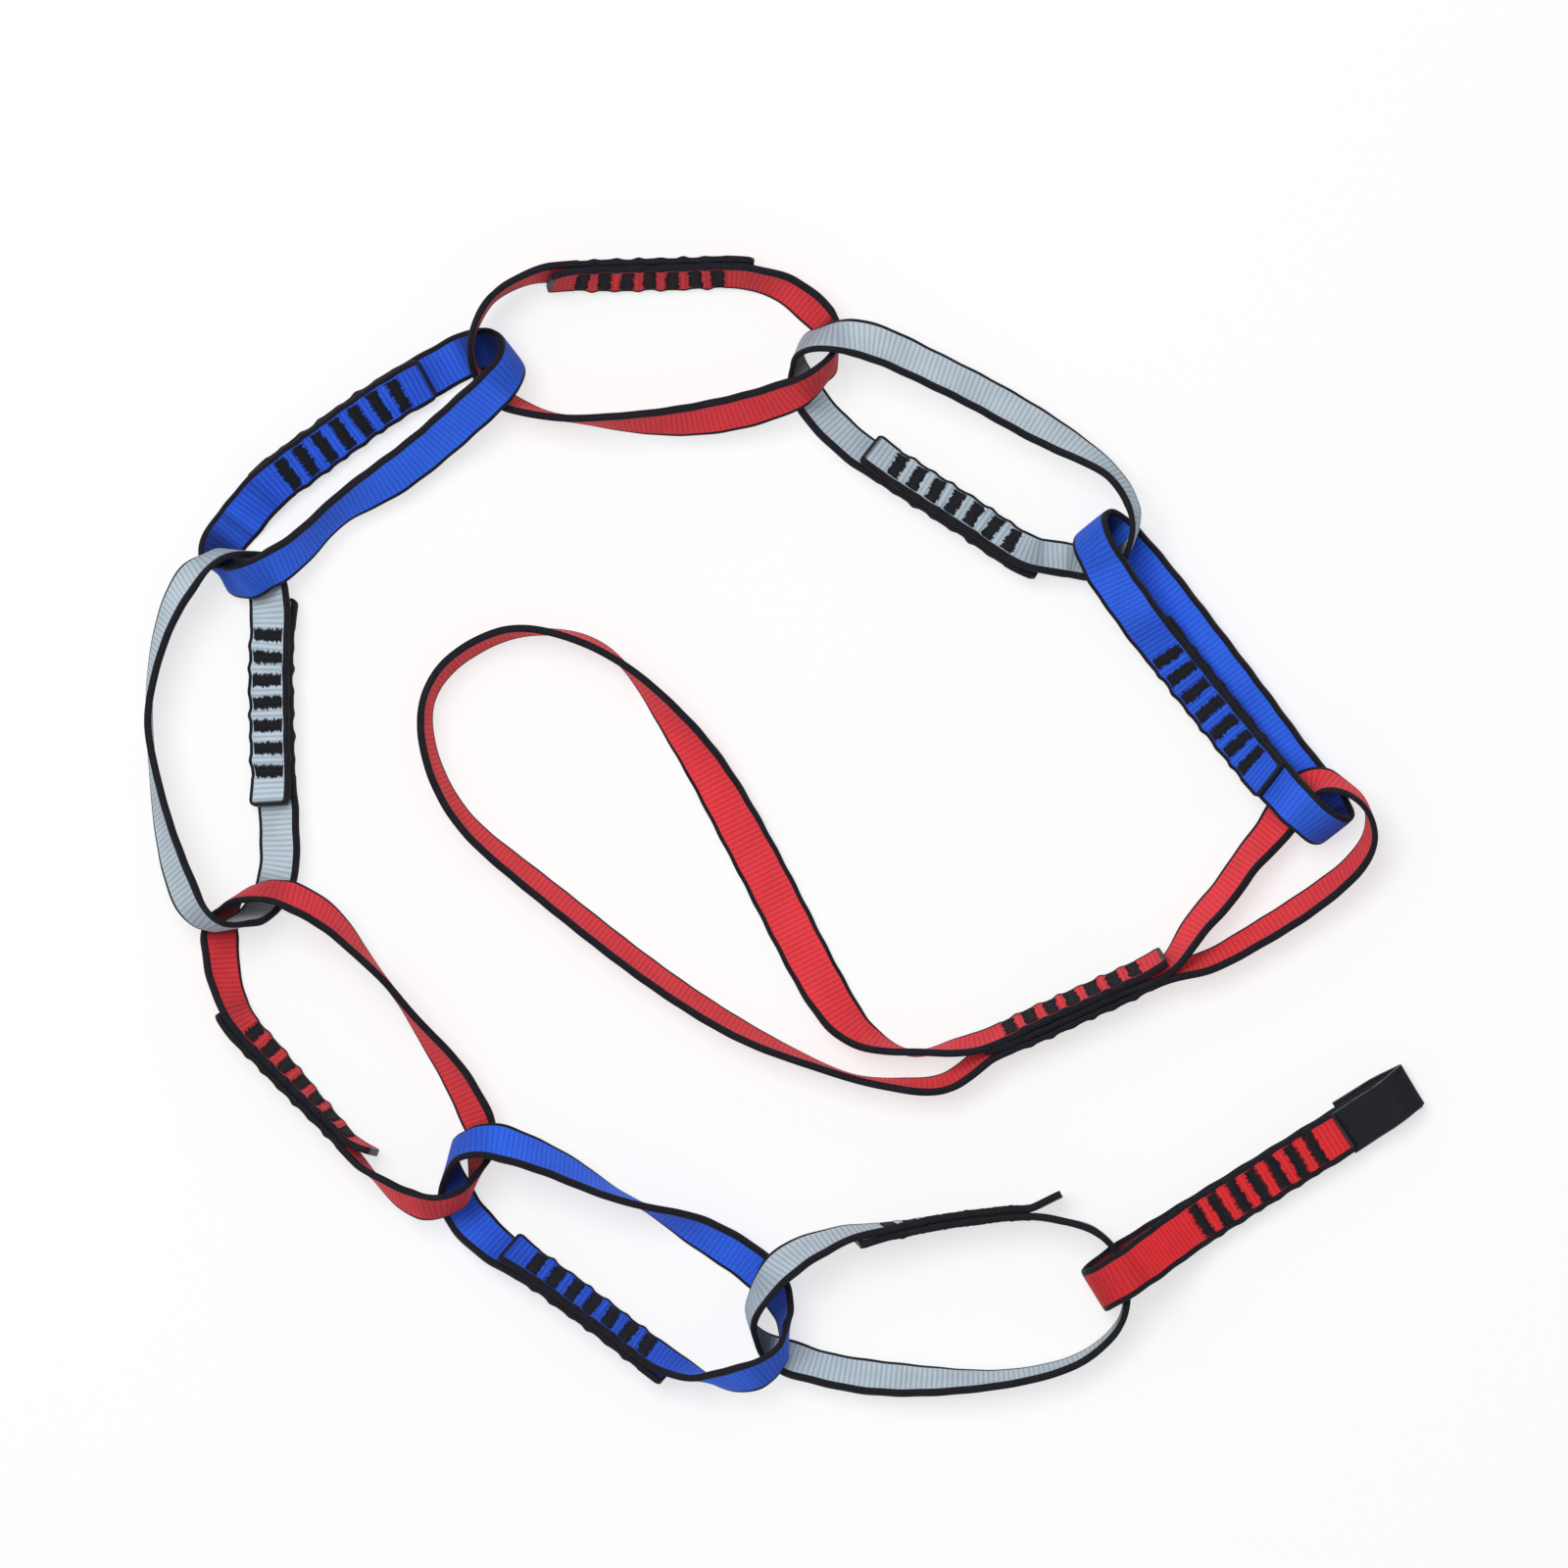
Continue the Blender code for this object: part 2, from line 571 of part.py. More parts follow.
def sling_stations():
    """The whole strip of the tie-in sling, with the ply that each station belongs to."""
    first = [(a, c, z, lean, 1, 1) for a, c, z, lean in SLING_LAP_SHARES]
    back = [(a, c, z, -HALF_TURN_SHARE - lean, -1, 1) for a, c, z, lean in reversed(SLING_LAP_SHARES)]
    last = [(a, c, z, lean - HALF_TURN_SHARE, 0, 1) for a, c, z, lean in SLING_LAP_SHARES]
    large = [station + (0, 0) for station in LARGE_LOOP_SHARES]
    small = [station + (0, 0) for station in SMALL_LOOP_SHARES]
    large[0] = large[0][:4] + (PARTING_SHARE, PARTING_SHARE)
    large[-1] = large[-1][:4] + (-PARTING_SHARE, PARTING_SHARE)
    small[0] = small[0][:4] + (-PARTING_SHARE, PARTING_SHARE)
    return first + large + back + small + last


def layout():
    """Each loop's frame: where it starts, its heading and its length."""
    origin = np.zeros(3)
    frames = {"tie_in_sling": (origin, SLING_HEADING_ANGLE, SLING_LENGTH)}
    for name, _, heading, share, *_ in LINK_LAYOUT_SHARES:
        heading, span = math.radians(heading), share * LINK_LENGTH
        frames[name] = (origin, heading, span)
        origin = origin + span * np.array([math.cos(heading), math.sin(heading), 0])
    return frames


def all_strips():
    """Every strip of webbing, by its loop's name."""
    frames = layout()
    strips = {"tie_in_sling": Strip(sling_stations(), frames["tie_in_sling"], 1, 0, False, SLING_FLARE_SHARES)}
    for name, _, _, _, turn, side, stations, flares in LINK_LAYOUT_SHARES:
        strips[name] = Strip(stations, frames[name], turn, side, True, flares)
    return strips


def thread_shapes(strip):
    """Needle thread on the outer ply's outer face and bobbin thread on the inner ply's inner face."""
    outer, inner = strip.laps[:2]
    return ladder_shape(strip, outer, 1), ladder_shape(strip, inner, -1)


def band_shape(strip, start, end, width, low, high):
    """A flat band on the strip's outer face, between two heights above its middle."""
    first, last = np.searchsorted(strip.places, (start, end))
    keep = strip.rings()
    keep = np.concatenate([[first], keep[(keep > first) & (keep < last)], [last]])
    section = np.array([(width / 2, low), (width / 2, high), (-width / 2, high), (-width / 2, low)])
    return sweep(strip.middle[keep], strip.width[keep], strip.outward[keep], section)


def label_shapes(strip, frame):
    """The folded label round the end link's far fold, and the thread that sews it."""
    _, heading, _ = frame
    single = (strip.places > strip.lap + LAP_BLEND) & (strip.places < strip.loop)
    reach = strip.middle[:, 0] * math.cos(heading) + strip.middle[:, 1] * math.sin(heading)
    fold = strip.places[np.argmax(np.where(single, reach, -np.inf))]
    low = WEB_THICKNESS / 2 + LABEL_CLEARANCE
    high = low + LABEL_THICKNESS
    label = band_shape(strip, fold - LABEL_LENGTH, fold + LABEL_LENGTH, LABEL_WIDTH, low, high)
    low = high + THREAD_CLEARANCE
    end = fold + LABEL_LENGTH - LABEL_STITCH_MARGIN
    seam = band_shape(strip, end - LABEL_STITCH_WIDTH, end, LABEL_WIDTH - 2 * LABEL_STITCH_MARGIN,
                      low, low + THREAD_HEIGHT)
    return label, seam


# Blender objects


def material(name, colour, roughness):
    surface = bpy.data.materials.new(name)
    surface.use_nodes = True
    shader = surface.node_tree.nodes["Principled BSDF"]
    shader.inputs["Base Color"].default_value = colour
    shader.inputs["Roughness"].default_value = roughness
    return surface


def add_piece(name, shape, loop, surface):
    """One object whose mesh is measured from its loop's joint."""
    points, faces = shape
    mesh = bpy.data.meshes.new(name)
    mesh.from_pydata(points.tolist(), [], faces)
    work = bmesh.new()
    work.from_mesh(mesh)
    bmesh.ops.recalc_face_normals(work, faces=work.faces)
    work.to_mesh(mesh)
    work.free()
    mesh.shade_smooth()
    mesh.set_sharp_from_angle(angle=CREASE_ANGLE)
    mesh.materials.append(surface)
    piece = bpy.data.objects.new(name, mesh)
    bpy.context.collection.objects.link(piece)
    piece.parent = loop
    return piece


def floor_cutter(reach):
    """A block with its top at the floor."""
    corners = [(x, y, z) for z in (-reach, 0) for y in (-reach, reach) for x in (-reach, reach)]
    faces = [(0, 2, 3, 1), (4, 5, 7, 6), (0, 1, 5, 4), (2, 6, 7, 3), (0, 4, 6, 2), (1, 3, 7, 5)]
    mesh = bpy.data.meshes.new("floor_cutter")
    mesh.from_pydata(corners, [], faces)
    block = bpy.data.objects.new("floor_cutter", mesh)
    block.hide_render = True
    block.display_type = "WIRE"
    bpy.context.collection.objects.link(block)
    return block


def cut_flat(piece, cutter):
    """Takes off what lies below the floor."""
    cut = piece.modifiers.new("floor", "BOOLEAN")
    cut.operation = "DIFFERENCE"
    cut.solver = "EXACT"
    cut.object = cutter


def build():
    for old in list(bpy.data.objects):
        bpy.data.objects.remove(old)
    frames, strips = layout(), all_strips()
    colours = {"tie_in_sling": RED, **{link[0]: link[1] for link in LINK_LAYOUT_SHARES}}
    pieces = []
    for name, strip in strips.items():
        needle, bobbin = thread_shapes(strip)
        pieces.append((name, f"{name}_webbing", strap_shape(strip), colours[name], WEB_ROUGHNESS))
        pieces.append((name, f"{name}_needle_thread", needle, BLACK, THREAD_ROUGHNESS))
        pieces.append((name, f"{name}_bobbin_thread", bobbin, BLACK, THREAD_ROUGHNESS))
    label, seam = label_shapes(strips["end_link"], frames["end_link"])
    pieces.append(("end_link", "end_label", label, BLACK, WEB_ROUGHNESS))
    pieces.append(("end_link", "label_stitching", seam, BLACK, THREAD_ROUGHNESS))
    spread = np.vstack([shape[0] for _, _, shape, _, _ in pieces])
    centre = (spread.min(axis=0) + spread.max(axis=0)) / 2 * [1, 1, 0]
    cutter = floor_cutter(np.ptp(spread, axis=0).max())
    loops = {}
    for name in strips:
        loops[name] = bpy.data.objects.new(name, None)
        loops[name].location = frames[name][0] - centre
        bpy.context.collection.objects.link(loops[name])
    for loop, name, (points, faces), colour, roughness in pieces:
        shape = (points - frames[loop][0], faces)
        piece = add_piece(name, shape, loops[loop], material(name, colour, roughness))
        if name.endswith("_webbing"):
            cut_flat(piece, cutter)


build()
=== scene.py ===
# %% [markdown]
# # A climbing daisy chain in ten sewn loops
# The real thing is a tether: ten straps of nylon webbing, each sewn into a loop that passes through
# the one before. A large red sling ties in to the harness, and a carabiner goes into any other loop.
# The plain solids are already there, one for each strap, thread and label. This lesson gives them
# their soft section, their woven faces and their sewing, and keeps every loop where its solid lies.

# %% Load the plain solids
import json
import math

import bpy
import numpy as np
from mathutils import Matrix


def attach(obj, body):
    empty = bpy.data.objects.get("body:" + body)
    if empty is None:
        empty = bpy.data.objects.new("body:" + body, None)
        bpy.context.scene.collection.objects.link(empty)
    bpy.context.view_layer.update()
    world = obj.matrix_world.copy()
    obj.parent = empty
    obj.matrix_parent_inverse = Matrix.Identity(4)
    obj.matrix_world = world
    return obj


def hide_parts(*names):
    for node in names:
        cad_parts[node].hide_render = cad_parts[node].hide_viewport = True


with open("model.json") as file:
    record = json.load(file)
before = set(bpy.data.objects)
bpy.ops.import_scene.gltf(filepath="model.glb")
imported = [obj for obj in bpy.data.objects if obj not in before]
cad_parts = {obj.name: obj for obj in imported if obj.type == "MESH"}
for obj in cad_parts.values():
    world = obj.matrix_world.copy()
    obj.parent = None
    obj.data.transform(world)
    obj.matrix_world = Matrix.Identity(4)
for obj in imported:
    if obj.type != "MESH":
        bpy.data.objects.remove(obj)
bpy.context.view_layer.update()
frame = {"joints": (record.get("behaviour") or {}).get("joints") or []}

# %% [markdown]
# ## The camera
# The chain was photographed from straight above, and far enough away that upright walls of the
# loops show only as thin lines. A long lens from six metres gives that flat look. The lens follows
# from the distance and from how much floor the picture takes in, so both are stated and not guessed.

# %% Camera straight above the chain
SEEN_FLOOR = 1600 / 3000
CAMERA_HEIGHT = 6.0
SENSOR = 36.0

view = bpy.data.cameras.new("view_from_above")
view.sensor_width = SENSOR
view.lens = SENSOR * CAMERA_HEIGHT / SEEN_FLOOR
camera = bpy.data.objects.new("view_from_above", view)
camera.location = (-0.0010, 0.0143, CAMERA_HEIGHT)
bpy.context.scene.collection.objects.link(camera)
bpy.context.scene.camera = camera
print(f"lens {view.lens:.0f} mm, {SEEN_FLOOR * 1000:.0f} mm of floor in view")

# %% [markdown]
# ## The line of each loop
# A strap lying on a table bends, leans and twists all at once, which is more than a curve object
# can say. It helps to write down a few stations, in the order of travel: where the strap is
# seen from above, how high its lower edge lies, and how far its width leans from upright. A smooth
# spline through all four values then gives every place between. A cloth simulation would be the
# other way, but it could never be told to end up in one photographed pose.

# %% Stations of the nine links, as shares of a link's length, the webbing's width and a right angle
LINK_1_SHARES = (
    (0.11, 0.055, 0.80, 0.69), (0.22, 0.056, 0.42, 0.69), (0.40, 0.056, 0.24, 0.69),
    (0.60, 0.055, 0.24, 0.69), (0.80, 0.055, 0.68, 0.69), (0.92, 0.050, 1.06, 0.69),
    (1.02, 0.035, 1.15, 0.69), (1.080, 0.005, 0.70, 0.69), (1.065, -0.035, 0.12, 0.69),
    (0.98, -0.05, 0.00, 0.69), (0.85, -0.055, 0.00, 0.69), (0.65, -0.052, 0.00, 0.69),
    (0.45, -0.047, 0.00, 0.69), (0.25, -0.040, 0.00, 0.69), (0.08, -0.035, 0.00, 0.69),
    (-0.05, -0.035, 0.00, 0.69), (-0.115, -0.02, 0.15, 0.69), (-0.120, 0.01, 0.66, 0.69),
    (-0.06, 0.035, 1.07, 0.69), (0.03, 0.048, 1.06, 0.69),
)
LINK_2_SHARES = (
    (0.15, 0.129, 0.03, 0.48), (0.32, 0.14, 0.03, 0.48), (0.52, 0.137, 0.03, 0.48),
    (0.72, 0.134, 0.03, 0.48), (0.844, 0.126, 0.00, 0.48), (0.943, 0.096, 0.00, 0.46),
    (1.02, 0.050, 0.08, 0.30), (1.053, 0.000, 0.42, 0.00), (1.036, -0.052, 0.84, -0.20),
    (0.985, -0.097, 1.00, -0.45), (0.90, -0.136, 0.92, -0.55), (0.75, -0.161, 0.72, -0.52),
    (0.55, -0.181, 0.52, -0.50), (0.35, -0.19, 0.47, -0.46), (0.20, -0.194, 0.50, -0.28),
    (0.10, -0.186, 0.58, -0.16), (0.02, -0.150, 0.64, -0.14), (-0.035, -0.090, 0.70, -0.08),
    (-0.050, -0.030, 0.56, 0.05), (-0.040, 0.022, 0.38, 0.26), (0.01, 0.059, 0.18, 0.46),
    (0.073, 0.089, 0.02, 0.48),
)
LINK_3_SHARES = (
    (0.187, -0.282, 0.02, 0.28), (0.35, -0.290, 0.02, 0.28), (0.52, -0.289, 0.04, 0.28),
    (0.70, -0.290, 0.12, 0.26), (0.836, -0.289, 0.26, 0.16), (0.921, -0.271, 0.38, 0.08),
    (0.989, -0.229, 0.46, 0.04), (1.037, -0.163, 0.58, 0.02), (1.06, -0.096, 0.58, 0.02),
    (1.060, -0.030, 0.44, 0.00), (1.035, 0.030, 0.20, 0.12), (0.985, 0.078, 0.02, 0.22),
    (0.92, 0.112, 0.00, 0.16), (0.84, 0.140, 0.08, 0.05), (0.75, 0.155, 0.22, 0.00),
    (0.62, 0.167, 0.40, -0.14), (0.48, 0.171, 0.52, -0.30), (0.34, 0.162, 0.60, -0.42),
    (0.20, 0.137, 0.74, -0.46), (0.08, 0.100, 0.90, -0.42), (0.00, 0.060, 0.94, -0.30),
    (-0.050, 0.010, 0.76, -0.10), (-0.070, -0.045, 0.32, 0.00), (-0.059, -0.102, 0.01, 0.28),
    (-0.023, -0.147, 0.00, 0.40), (0.027, -0.195, 0.00, 0.40), (0.095, -0.244, 0.00, 0.34),
)
LINK_4_SHARES = (
    (0.81, -0.138, 0.075, 0.83), (0.65, -0.142, 0.075, 0.83), (0.45, -0.137, 0.075, 0.83),
    (0.28, -0.126, 0.075, 0.83), (0.12, -0.105, 0.04, 0.83), (0.02, -0.090, 0.00, 0.83),
    (-0.06, -0.055, 0.10, 0.70), (-0.085, -0.010, 0.60, 0.60), (-0.04, 0.035, 1.04, 0.60),
    (0.04, 0.052, 1.08, 0.60), (0.15, 0.061, 0.88, 0.60), (0.32, 0.07, 0.58, 0.60),
    (0.48, 0.066, 0.50, 0.56), (0.66, 0.053, 0.50, 0.34), (0.80, 0.07, 0.62, 0.40),
    (0.90, 0.071, 0.84, 0.50), (0.98, 0.058, 0.90, 0.60), (1.045, 0.025, 0.34, 0.72),
    (1.060, -0.030, 0.00, 0.86), (1.02, -0.080, 0.00, 0.88), (0.93, -0.110, 0.00, 0.86),
)
LINK_5_SHARES = (
    (0.105, 0.090, 0.03, 0.62), (0.27, 0.085, 0.03, 0.63), (0.45, 0.083, 0.03, 0.63),
    (0.62, 0.085, 0.03, 0.62), (0.76, 0.096, 0.00, 0.60), (0.87, 0.098, 0.00, 0.60),
    (0.95, 0.077, 0.00, 0.55), (1.01, 0.036, 0.20, 0.35), (1.045, -0.018, 0.64, 0.10),
    (1.052, -0.080, 0.94, -0.12), (1.020, -0.135, 1.02, -0.32), (0.95, -0.177, 0.98, -0.38),
    (0.84, -0.215, 0.76, -0.30), (0.70, -0.246, 0.50, -0.16), (0.56, -0.266, 0.38, -0.04),
    (0.46, -0.275, 0.35, 0.00), (0.34, -0.265, 0.38, -0.06), (0.20, -0.232, 0.50, -0.18),
    (0.08, -0.180, 0.68, -0.30), (0.01, -0.125, 0.80, -0.30), (-0.030, -0.065, 0.73, -0.14),
    (-0.038, -0.010, 0.48, 0.00), (-0.015, 0.040, 0.18, 0.35), (0.035, 0.075, 0.00, 0.58),
)
LINK_6_SHARES = (
    (0.20, -0.225, 0.03, 0.36), (0.36, -0.231, 0.03, 0.28), (0.52, -0.224, 0.03, 0.20),
    (0.68, -0.216, 0.10, 0.12), (0.82, -0.212, 0.28, 0.05), (0.90, -0.206, 0.46, -0.12),
    (0.975, -0.182, 0.70, -0.28), (1.035, -0.132, 0.86, -0.33), (1.062, -0.068, 0.78, -0.20),
    (1.052, 0.000, 0.40, 0.00), (1.015, 0.055, 0.08, 0.25), (0.96, 0.106, 0.00, 0.42),
    (0.88, 0.135, 0.00, 0.42), (0.77, 0.157, 0.00, 0.34), (0.64, 0.167, 0.05, 0.18),
    (0.52, 0.174, 0.20, 0.04), (0.42, 0.177, 0.34, 0.00), (0.30, 0.176, 0.50, -0.14),
    (0.18, 0.168, 0.64, -0.30), (0.08, 0.135, 0.78, -0.36), (0.01, 0.090, 0.78, -0.30),
    (-0.030, 0.030, 0.60, -0.10), (-0.040, -0.030, 0.22, 0.10), (-0.015, -0.088, 0.03, 0.46),
    (0.040, -0.136, 0.00, 0.50), (0.11, -0.182, 0.00, 0.44),
)
LINK_7_SHARES = (
    (0.79, -0.27, 0.04, 0.30), (0.62, -0.24, 0.04, 0.36), (0.45, -0.204, 0.04, 0.37),
    (0.28, -0.172, 0.03, 0.40), (0.15, -0.152, 0.00, 0.56), (0.06, -0.118, 0.00, 0.62),
    (0.00, -0.068, 0.05, 0.46), (-0.040, -0.005, 0.42, 0.05), (-0.032, 0.055, 0.84, -0.24),
    (0.02, 0.100, 0.98, -0.48), (0.10, 0.120, 0.94, -0.48), (0.21, 0.127, 0.74, -0.37),
    (0.32, 0.124, 0.52, -0.26), (0.44, 0.118, 0.32, -0.08), (0.54, 0.124, 0.14, 0.06),
    (0.66, 0.124, 0.02, 0.36), (0.78, 0.114, 0.00, 0.52), (0.88, 0.097, 0.00, 0.55),
    (0.96, 0.066, 0.00, 0.48), (1.015, 0.022, 0.12, 0.25), (1.048, -0.034, 0.46, 0.05),
    (1.062, -0.095, 0.84, -0.18), (1.040, -0.152, 0.93, -0.38), (0.991, -0.207, 0.82, -0.36),
    (0.924, -0.248, 0.45, -0.14),
)
LINK_8_SHARES = (
    (0.865, 0.19, 0.26, 0.02), (0.78, 0.21, 0.24, 0.02), (0.66, 0.215, 0.22, 0.02),
    (0.52, 0.213, 0.24, 0.02), (0.38, 0.206, 0.30, -0.04), (0.27, 0.204, 0.42, -0.12),
    (0.15, 0.192, 0.62, -0.29), (0.05, 0.152, 0.84, -0.42), (-0.025, 0.088, 0.88, -0.34),
    (-0.068, 0.022, 0.66, -0.12), (-0.074, -0.038, 0.32, 0.00), (-0.045, -0.092, 0.05, 0.28),
    (0.010, -0.130, 0.00, 0.47), (0.09, -0.168, 0.00, 0.45), (0.20, -0.207, 0.00, 0.45),
    (0.33, -0.238, 0.00, 0.42), (0.48, -0.262, 0.00, 0.30), (0.64, -0.275, 0.00, 0.17),
    (0.78, -0.268, 0.00, 0.11), (0.89, -0.242, 0.00, 0.07), (0.965, -0.20, 0.03, 0.04),
    (1.021, -0.142, 0.17, 0.02), (1.045, -0.075, 0.24, 0.00), (1.048, -0.010, 0.24, 0.00),
    (1.032, 0.055, 0.25, 0.00), (0.995, 0.111, 0.27, 0.00), (0.94, 0.154, 0.28, 0.00),
)
END_LINK_SHARES = (
    (0.838, -0.005, 0.30, 0.96), (0.68, -0.006, 0.25, 0.96), (0.50, -0.008, 0.23, 0.96),
    (0.34, -0.010, 0.24, 0.95), (0.24, -0.014, 0.44, 0.95), (0.14, -0.020, 0.98, 0.94),
    (0.05, -0.025, 1.33, 0.93), (-0.02, -0.025, 1.24, 0.93), (-0.057, -0.022, 0.80, 0.93),
    (-0.052, -0.016, 0.28, 0.93), (-0.01, -0.008, 0.03, 0.94), (0.08, -0.003, 0.00, 0.96),
    (0.25, -0.003, 0.00, 0.97), (0.50, -0.003, 0.00, 0.97), (0.70, -0.002, 0.02, 0.97),
    (0.846, -0.001, 0.11, 0.97), (0.962, 0.000, 0.12, 0.97), (1.053, 0.002, 0.15, 0.97),
    (1.074, 0.002, 0.27, 0.97), (1.048, 0.000, 0.38, 0.97), (0.952, -0.002, 0.35, 0.97),
)

# %% [markdown]
# The sling is a single strip too. It runs through its lap, round the large loop, back through the
# lap, round the small loop, and into the lap a third time, so its lap has three plies.

# %% Stations of the sling
SLING_LAP_SHARES = (
    (0.135, 0.216, 0.03, -0.22), (0.18, 0.2445, 0.03, -0.22), (0.235, 0.2795, 0.03, -0.22),
    (0.29, 0.3145, 0.03, -0.22), (0.335, 0.343, 0.03, -0.22),
)
LARGE_LOOP_SHARES = (
    (0.375, 0.357, 0.0, -0.12), (0.411, 0.359, 0.0, 0.03), (0.449, 0.357, 0.0, -0.15),
    (0.485, 0.344, 0.0, -0.45), (0.5175, 0.314, 0.0, -0.72), (0.5545, 0.266, 0.0, -0.92),
    (0.6065, 0.192, 0.0, -1.04), (0.6565, 0.123, 0.0, -1.20), (0.706, 0.06, 0.0, -1.42),
    (0.755, 0.009, 0.0, -1.68), (0.802, -0.032, 0.0, -1.94), (0.85, -0.058, 0.0, -2.08),
    (0.90, -0.066, 0.0, -2.02), (0.95, -0.059, 0.0, -1.90), (0.99, -0.036, 0.0, -1.86),
    (1.020, -0.005, 0.0, -1.86), (1.035, 0.035, 0.0, -1.88), (1.029, 0.080, 0.0, -1.87),
    (1.01, 0.121, 0.0, -1.84), (0.972, 0.167, 0.0, -1.80), (0.912, 0.208, 0.0, -1.74),
    (0.842, 0.249, 0.0, -1.71), (0.762, 0.295, 0.0, -1.71), (0.682, 0.336, 0.0, -1.73),
    (0.601, 0.369, 0.0, -1.80), (0.53, 0.389, 0.0, -1.94), (0.47, 0.40, 0.0, -1.98),
    (0.42, 0.399, 0.0, -1.88), (0.375, 0.382, 0.0, -1.80),
)
SMALL_LOOP_SHARES = (
    (0.10, 0.203, 0.00, -1.76), (0.051, 0.178, 0.00, -1.72), (0.007, 0.142, 0.00, -1.70),
    (-0.035, 0.103, 0.04, -1.72), (-0.065, 0.067, 0.20, -1.78), (-0.077, 0.032, 0.42, -1.87),
    (-0.067, 0.001, 0.58, -2.04), (-0.044, -0.016, 0.68, -2.14), (-0.014, -0.020, 0.65, -2.30),
    (0.008, -0.006, 0.43, -2.50), (0.024, 0.017, 0.15, -2.52), (0.037, 0.044, 0.02, -2.46),
    (0.059, 0.079, 0.00, -2.36), (0.083, 0.125, 0.00, -2.34), (0.111, 0.17, 0.00, -2.30),
)

# %% [markdown]
# Each link needs a colour, a heading on the floor and a length between the places where it meets
# its neighbours. Widths and lengths are those of the common 16 mm tape that such chains are made of.

# %% The chain's sizes
WEB_WIDTH = 0.016
WEB_THICKNESS = 0.0022
PLY_CLEARANCE = 0.0003
FLOOR_CUT = 0.0005
LINK_LENGTH = 0.115
SLING_LENGTH = 0.291
LAP_LENGTH = 0.069
LAP_BLEND = 0.014
TAIL_LENGTH = 0.0098
TAIL_FLARE = 0.004
RIGHT_ANGLE = math.pi / 2

# Name, colour, heading in degrees, share of LINK_LENGTH, sense of travel, leaning side, stations,
# and how far its two tails stand off, as shares of TAIL_FLARE
LINKS = (
    ("link_1", "blue", 128.8, 0.950, -1, -1, LINK_1_SHARES, (0.10, 0.40)),
    ("link_2", "grey", 147.9, 1.025, -1, 0, LINK_2_SHARES, (0.35, 0.25)),
    ("link_3", "red", -178.6, 0.950, 1, 0, LINK_3_SHARES, (0.10, 0.30)),
    ("link_4", "blue", -142.3, 0.940, -1, -1, LINK_4_SHARES, (0.05, 0.05)),
    ("link_5", "grey", -88.9, 1.010, -1, 0, LINK_5_SHARES, (0.75, 0.65)),
    ("link_6", "red", -50.3, 1.000, 1, 0, LINK_6_SHARES, (0.10, 0.90)),
    ("link_7", "blue", -24.9, 1.020, -1, 0, LINK_7_SHARES, (0.45, 0.25)),
    ("link_8", "grey", 6.9, 0.990, 1, 0, LINK_8_SHARES, (1.60, 0.20)),
    ("end_link", "red", 31.5, 0.970, 1, -1, END_LINK_SHARES, (0.00, 0.00)),
)
SLING_HEADING = 171.8
SLING_FLARES = (0.3, 0.3)
# Where the sling's plies part, they still lie this far off the middle, in plies
PARTING_SHARE = 0.9
link_mm, sling_mm = (round(length * 1000) for length in (LINK_LENGTH, SLING_LENGTH))
print(f"{len(LINKS)} links of about {link_mm} mm and a sling of {sling_mm} mm")

# %% [markdown]
# A cubic spline is the curve that a thin batten takes between pins. Its slopes at the pins come from
# one set of linear equations, whether the line closes on itself or has two free ends.

# %% Smooth values between stations
def spline_slopes(knots, rows, closed):
    """Slopes at the knots of the cubic spline through the rows."""
    count = len(rows)
    gaps = np.diff(knots)
    if closed:
        rows = np.vstack([rows, rows[:1]])
    rise = np.diff(rows, axis=0) / gaps[:, None]
    matrix = np.zeros((count, count))
    target = np.zeros_like(rows[:count])
    for i in range(count):
        if not closed and i in (0, count - 1):
            other = 1 if i == 0 else count - 2
            matrix[i, i], matrix[i, other] = 2, 1
            target[i] = 3 * rise[min(i, count - 2)]
            continue
        before, after = gaps[i - 1], gaps[i]
        matrix[i, (i - 1) % count] = 1 / before
        matrix[i, i] = 2 / before + 2 / after
        matrix[i, (i + 1) % count] = 1 / after
        target[i] = 3 * (rise[i - 1] / before + rise[i] / after)
    return np.linalg.solve(matrix, target)


def spline_points(knots, rows, slopes, places, closed):
    """The spline's rows at the given places."""
    if closed:
        rows, slopes = np.vstack([rows, rows[:1]]), np.vstack([slopes, slopes[:1]])
        places = np.mod(places, knots[-1])
    i = np.clip(np.searchsorted(knots, places, side="right") - 1, 0, len(knots) - 2)
    gap = knots[i + 1] - knots[i]
    u = (places - knots[i]) / gap
    u, gap = u[:, None], gap[:, None]
    return (
        (1 + 2 * u) * (1 - u) ** 2 * rows[i]
        + u * (1 - u) ** 2 * gap * slopes[i]
        + u * u * (3 - 2 * u) * rows[i + 1]
        + u * u * (u - 1) * gap * slopes[i + 1]
    )


def unit(rows):
    """Each row scaled to length one."""
    return rows / np.linalg.norm(rows, axis=-1, keepdims=True)


def running_length(points):
    """Length of the path from its start to each of its points."""
    steps = np.linalg.norm(np.diff(points, axis=0), axis=1)
    return np.concatenate([[0], np.cumsum(steps)])


def ease(share):
    """Runs smoothly from 0 to 1 while share does."""
    share = np.clip(share, 0, 1)
    return share * share * (3 - 2 * share)


# %% [markdown]
# The strap's middle line alone is not enough: at each place it also has a width direction, which
# leans, and an outward direction, which is square to both. In the lap the two ends of the strip lie
# on each other, so the line moves half a ply out at one end and half a ply in at the other.

# %% One strip of webbing, as a line with a width and an outside
FINE_STEPS = 1200
LEVEL_PASSES = 3
SELVEDGE_BEVEL = 0.0005
TAIL_POWER = 1.4
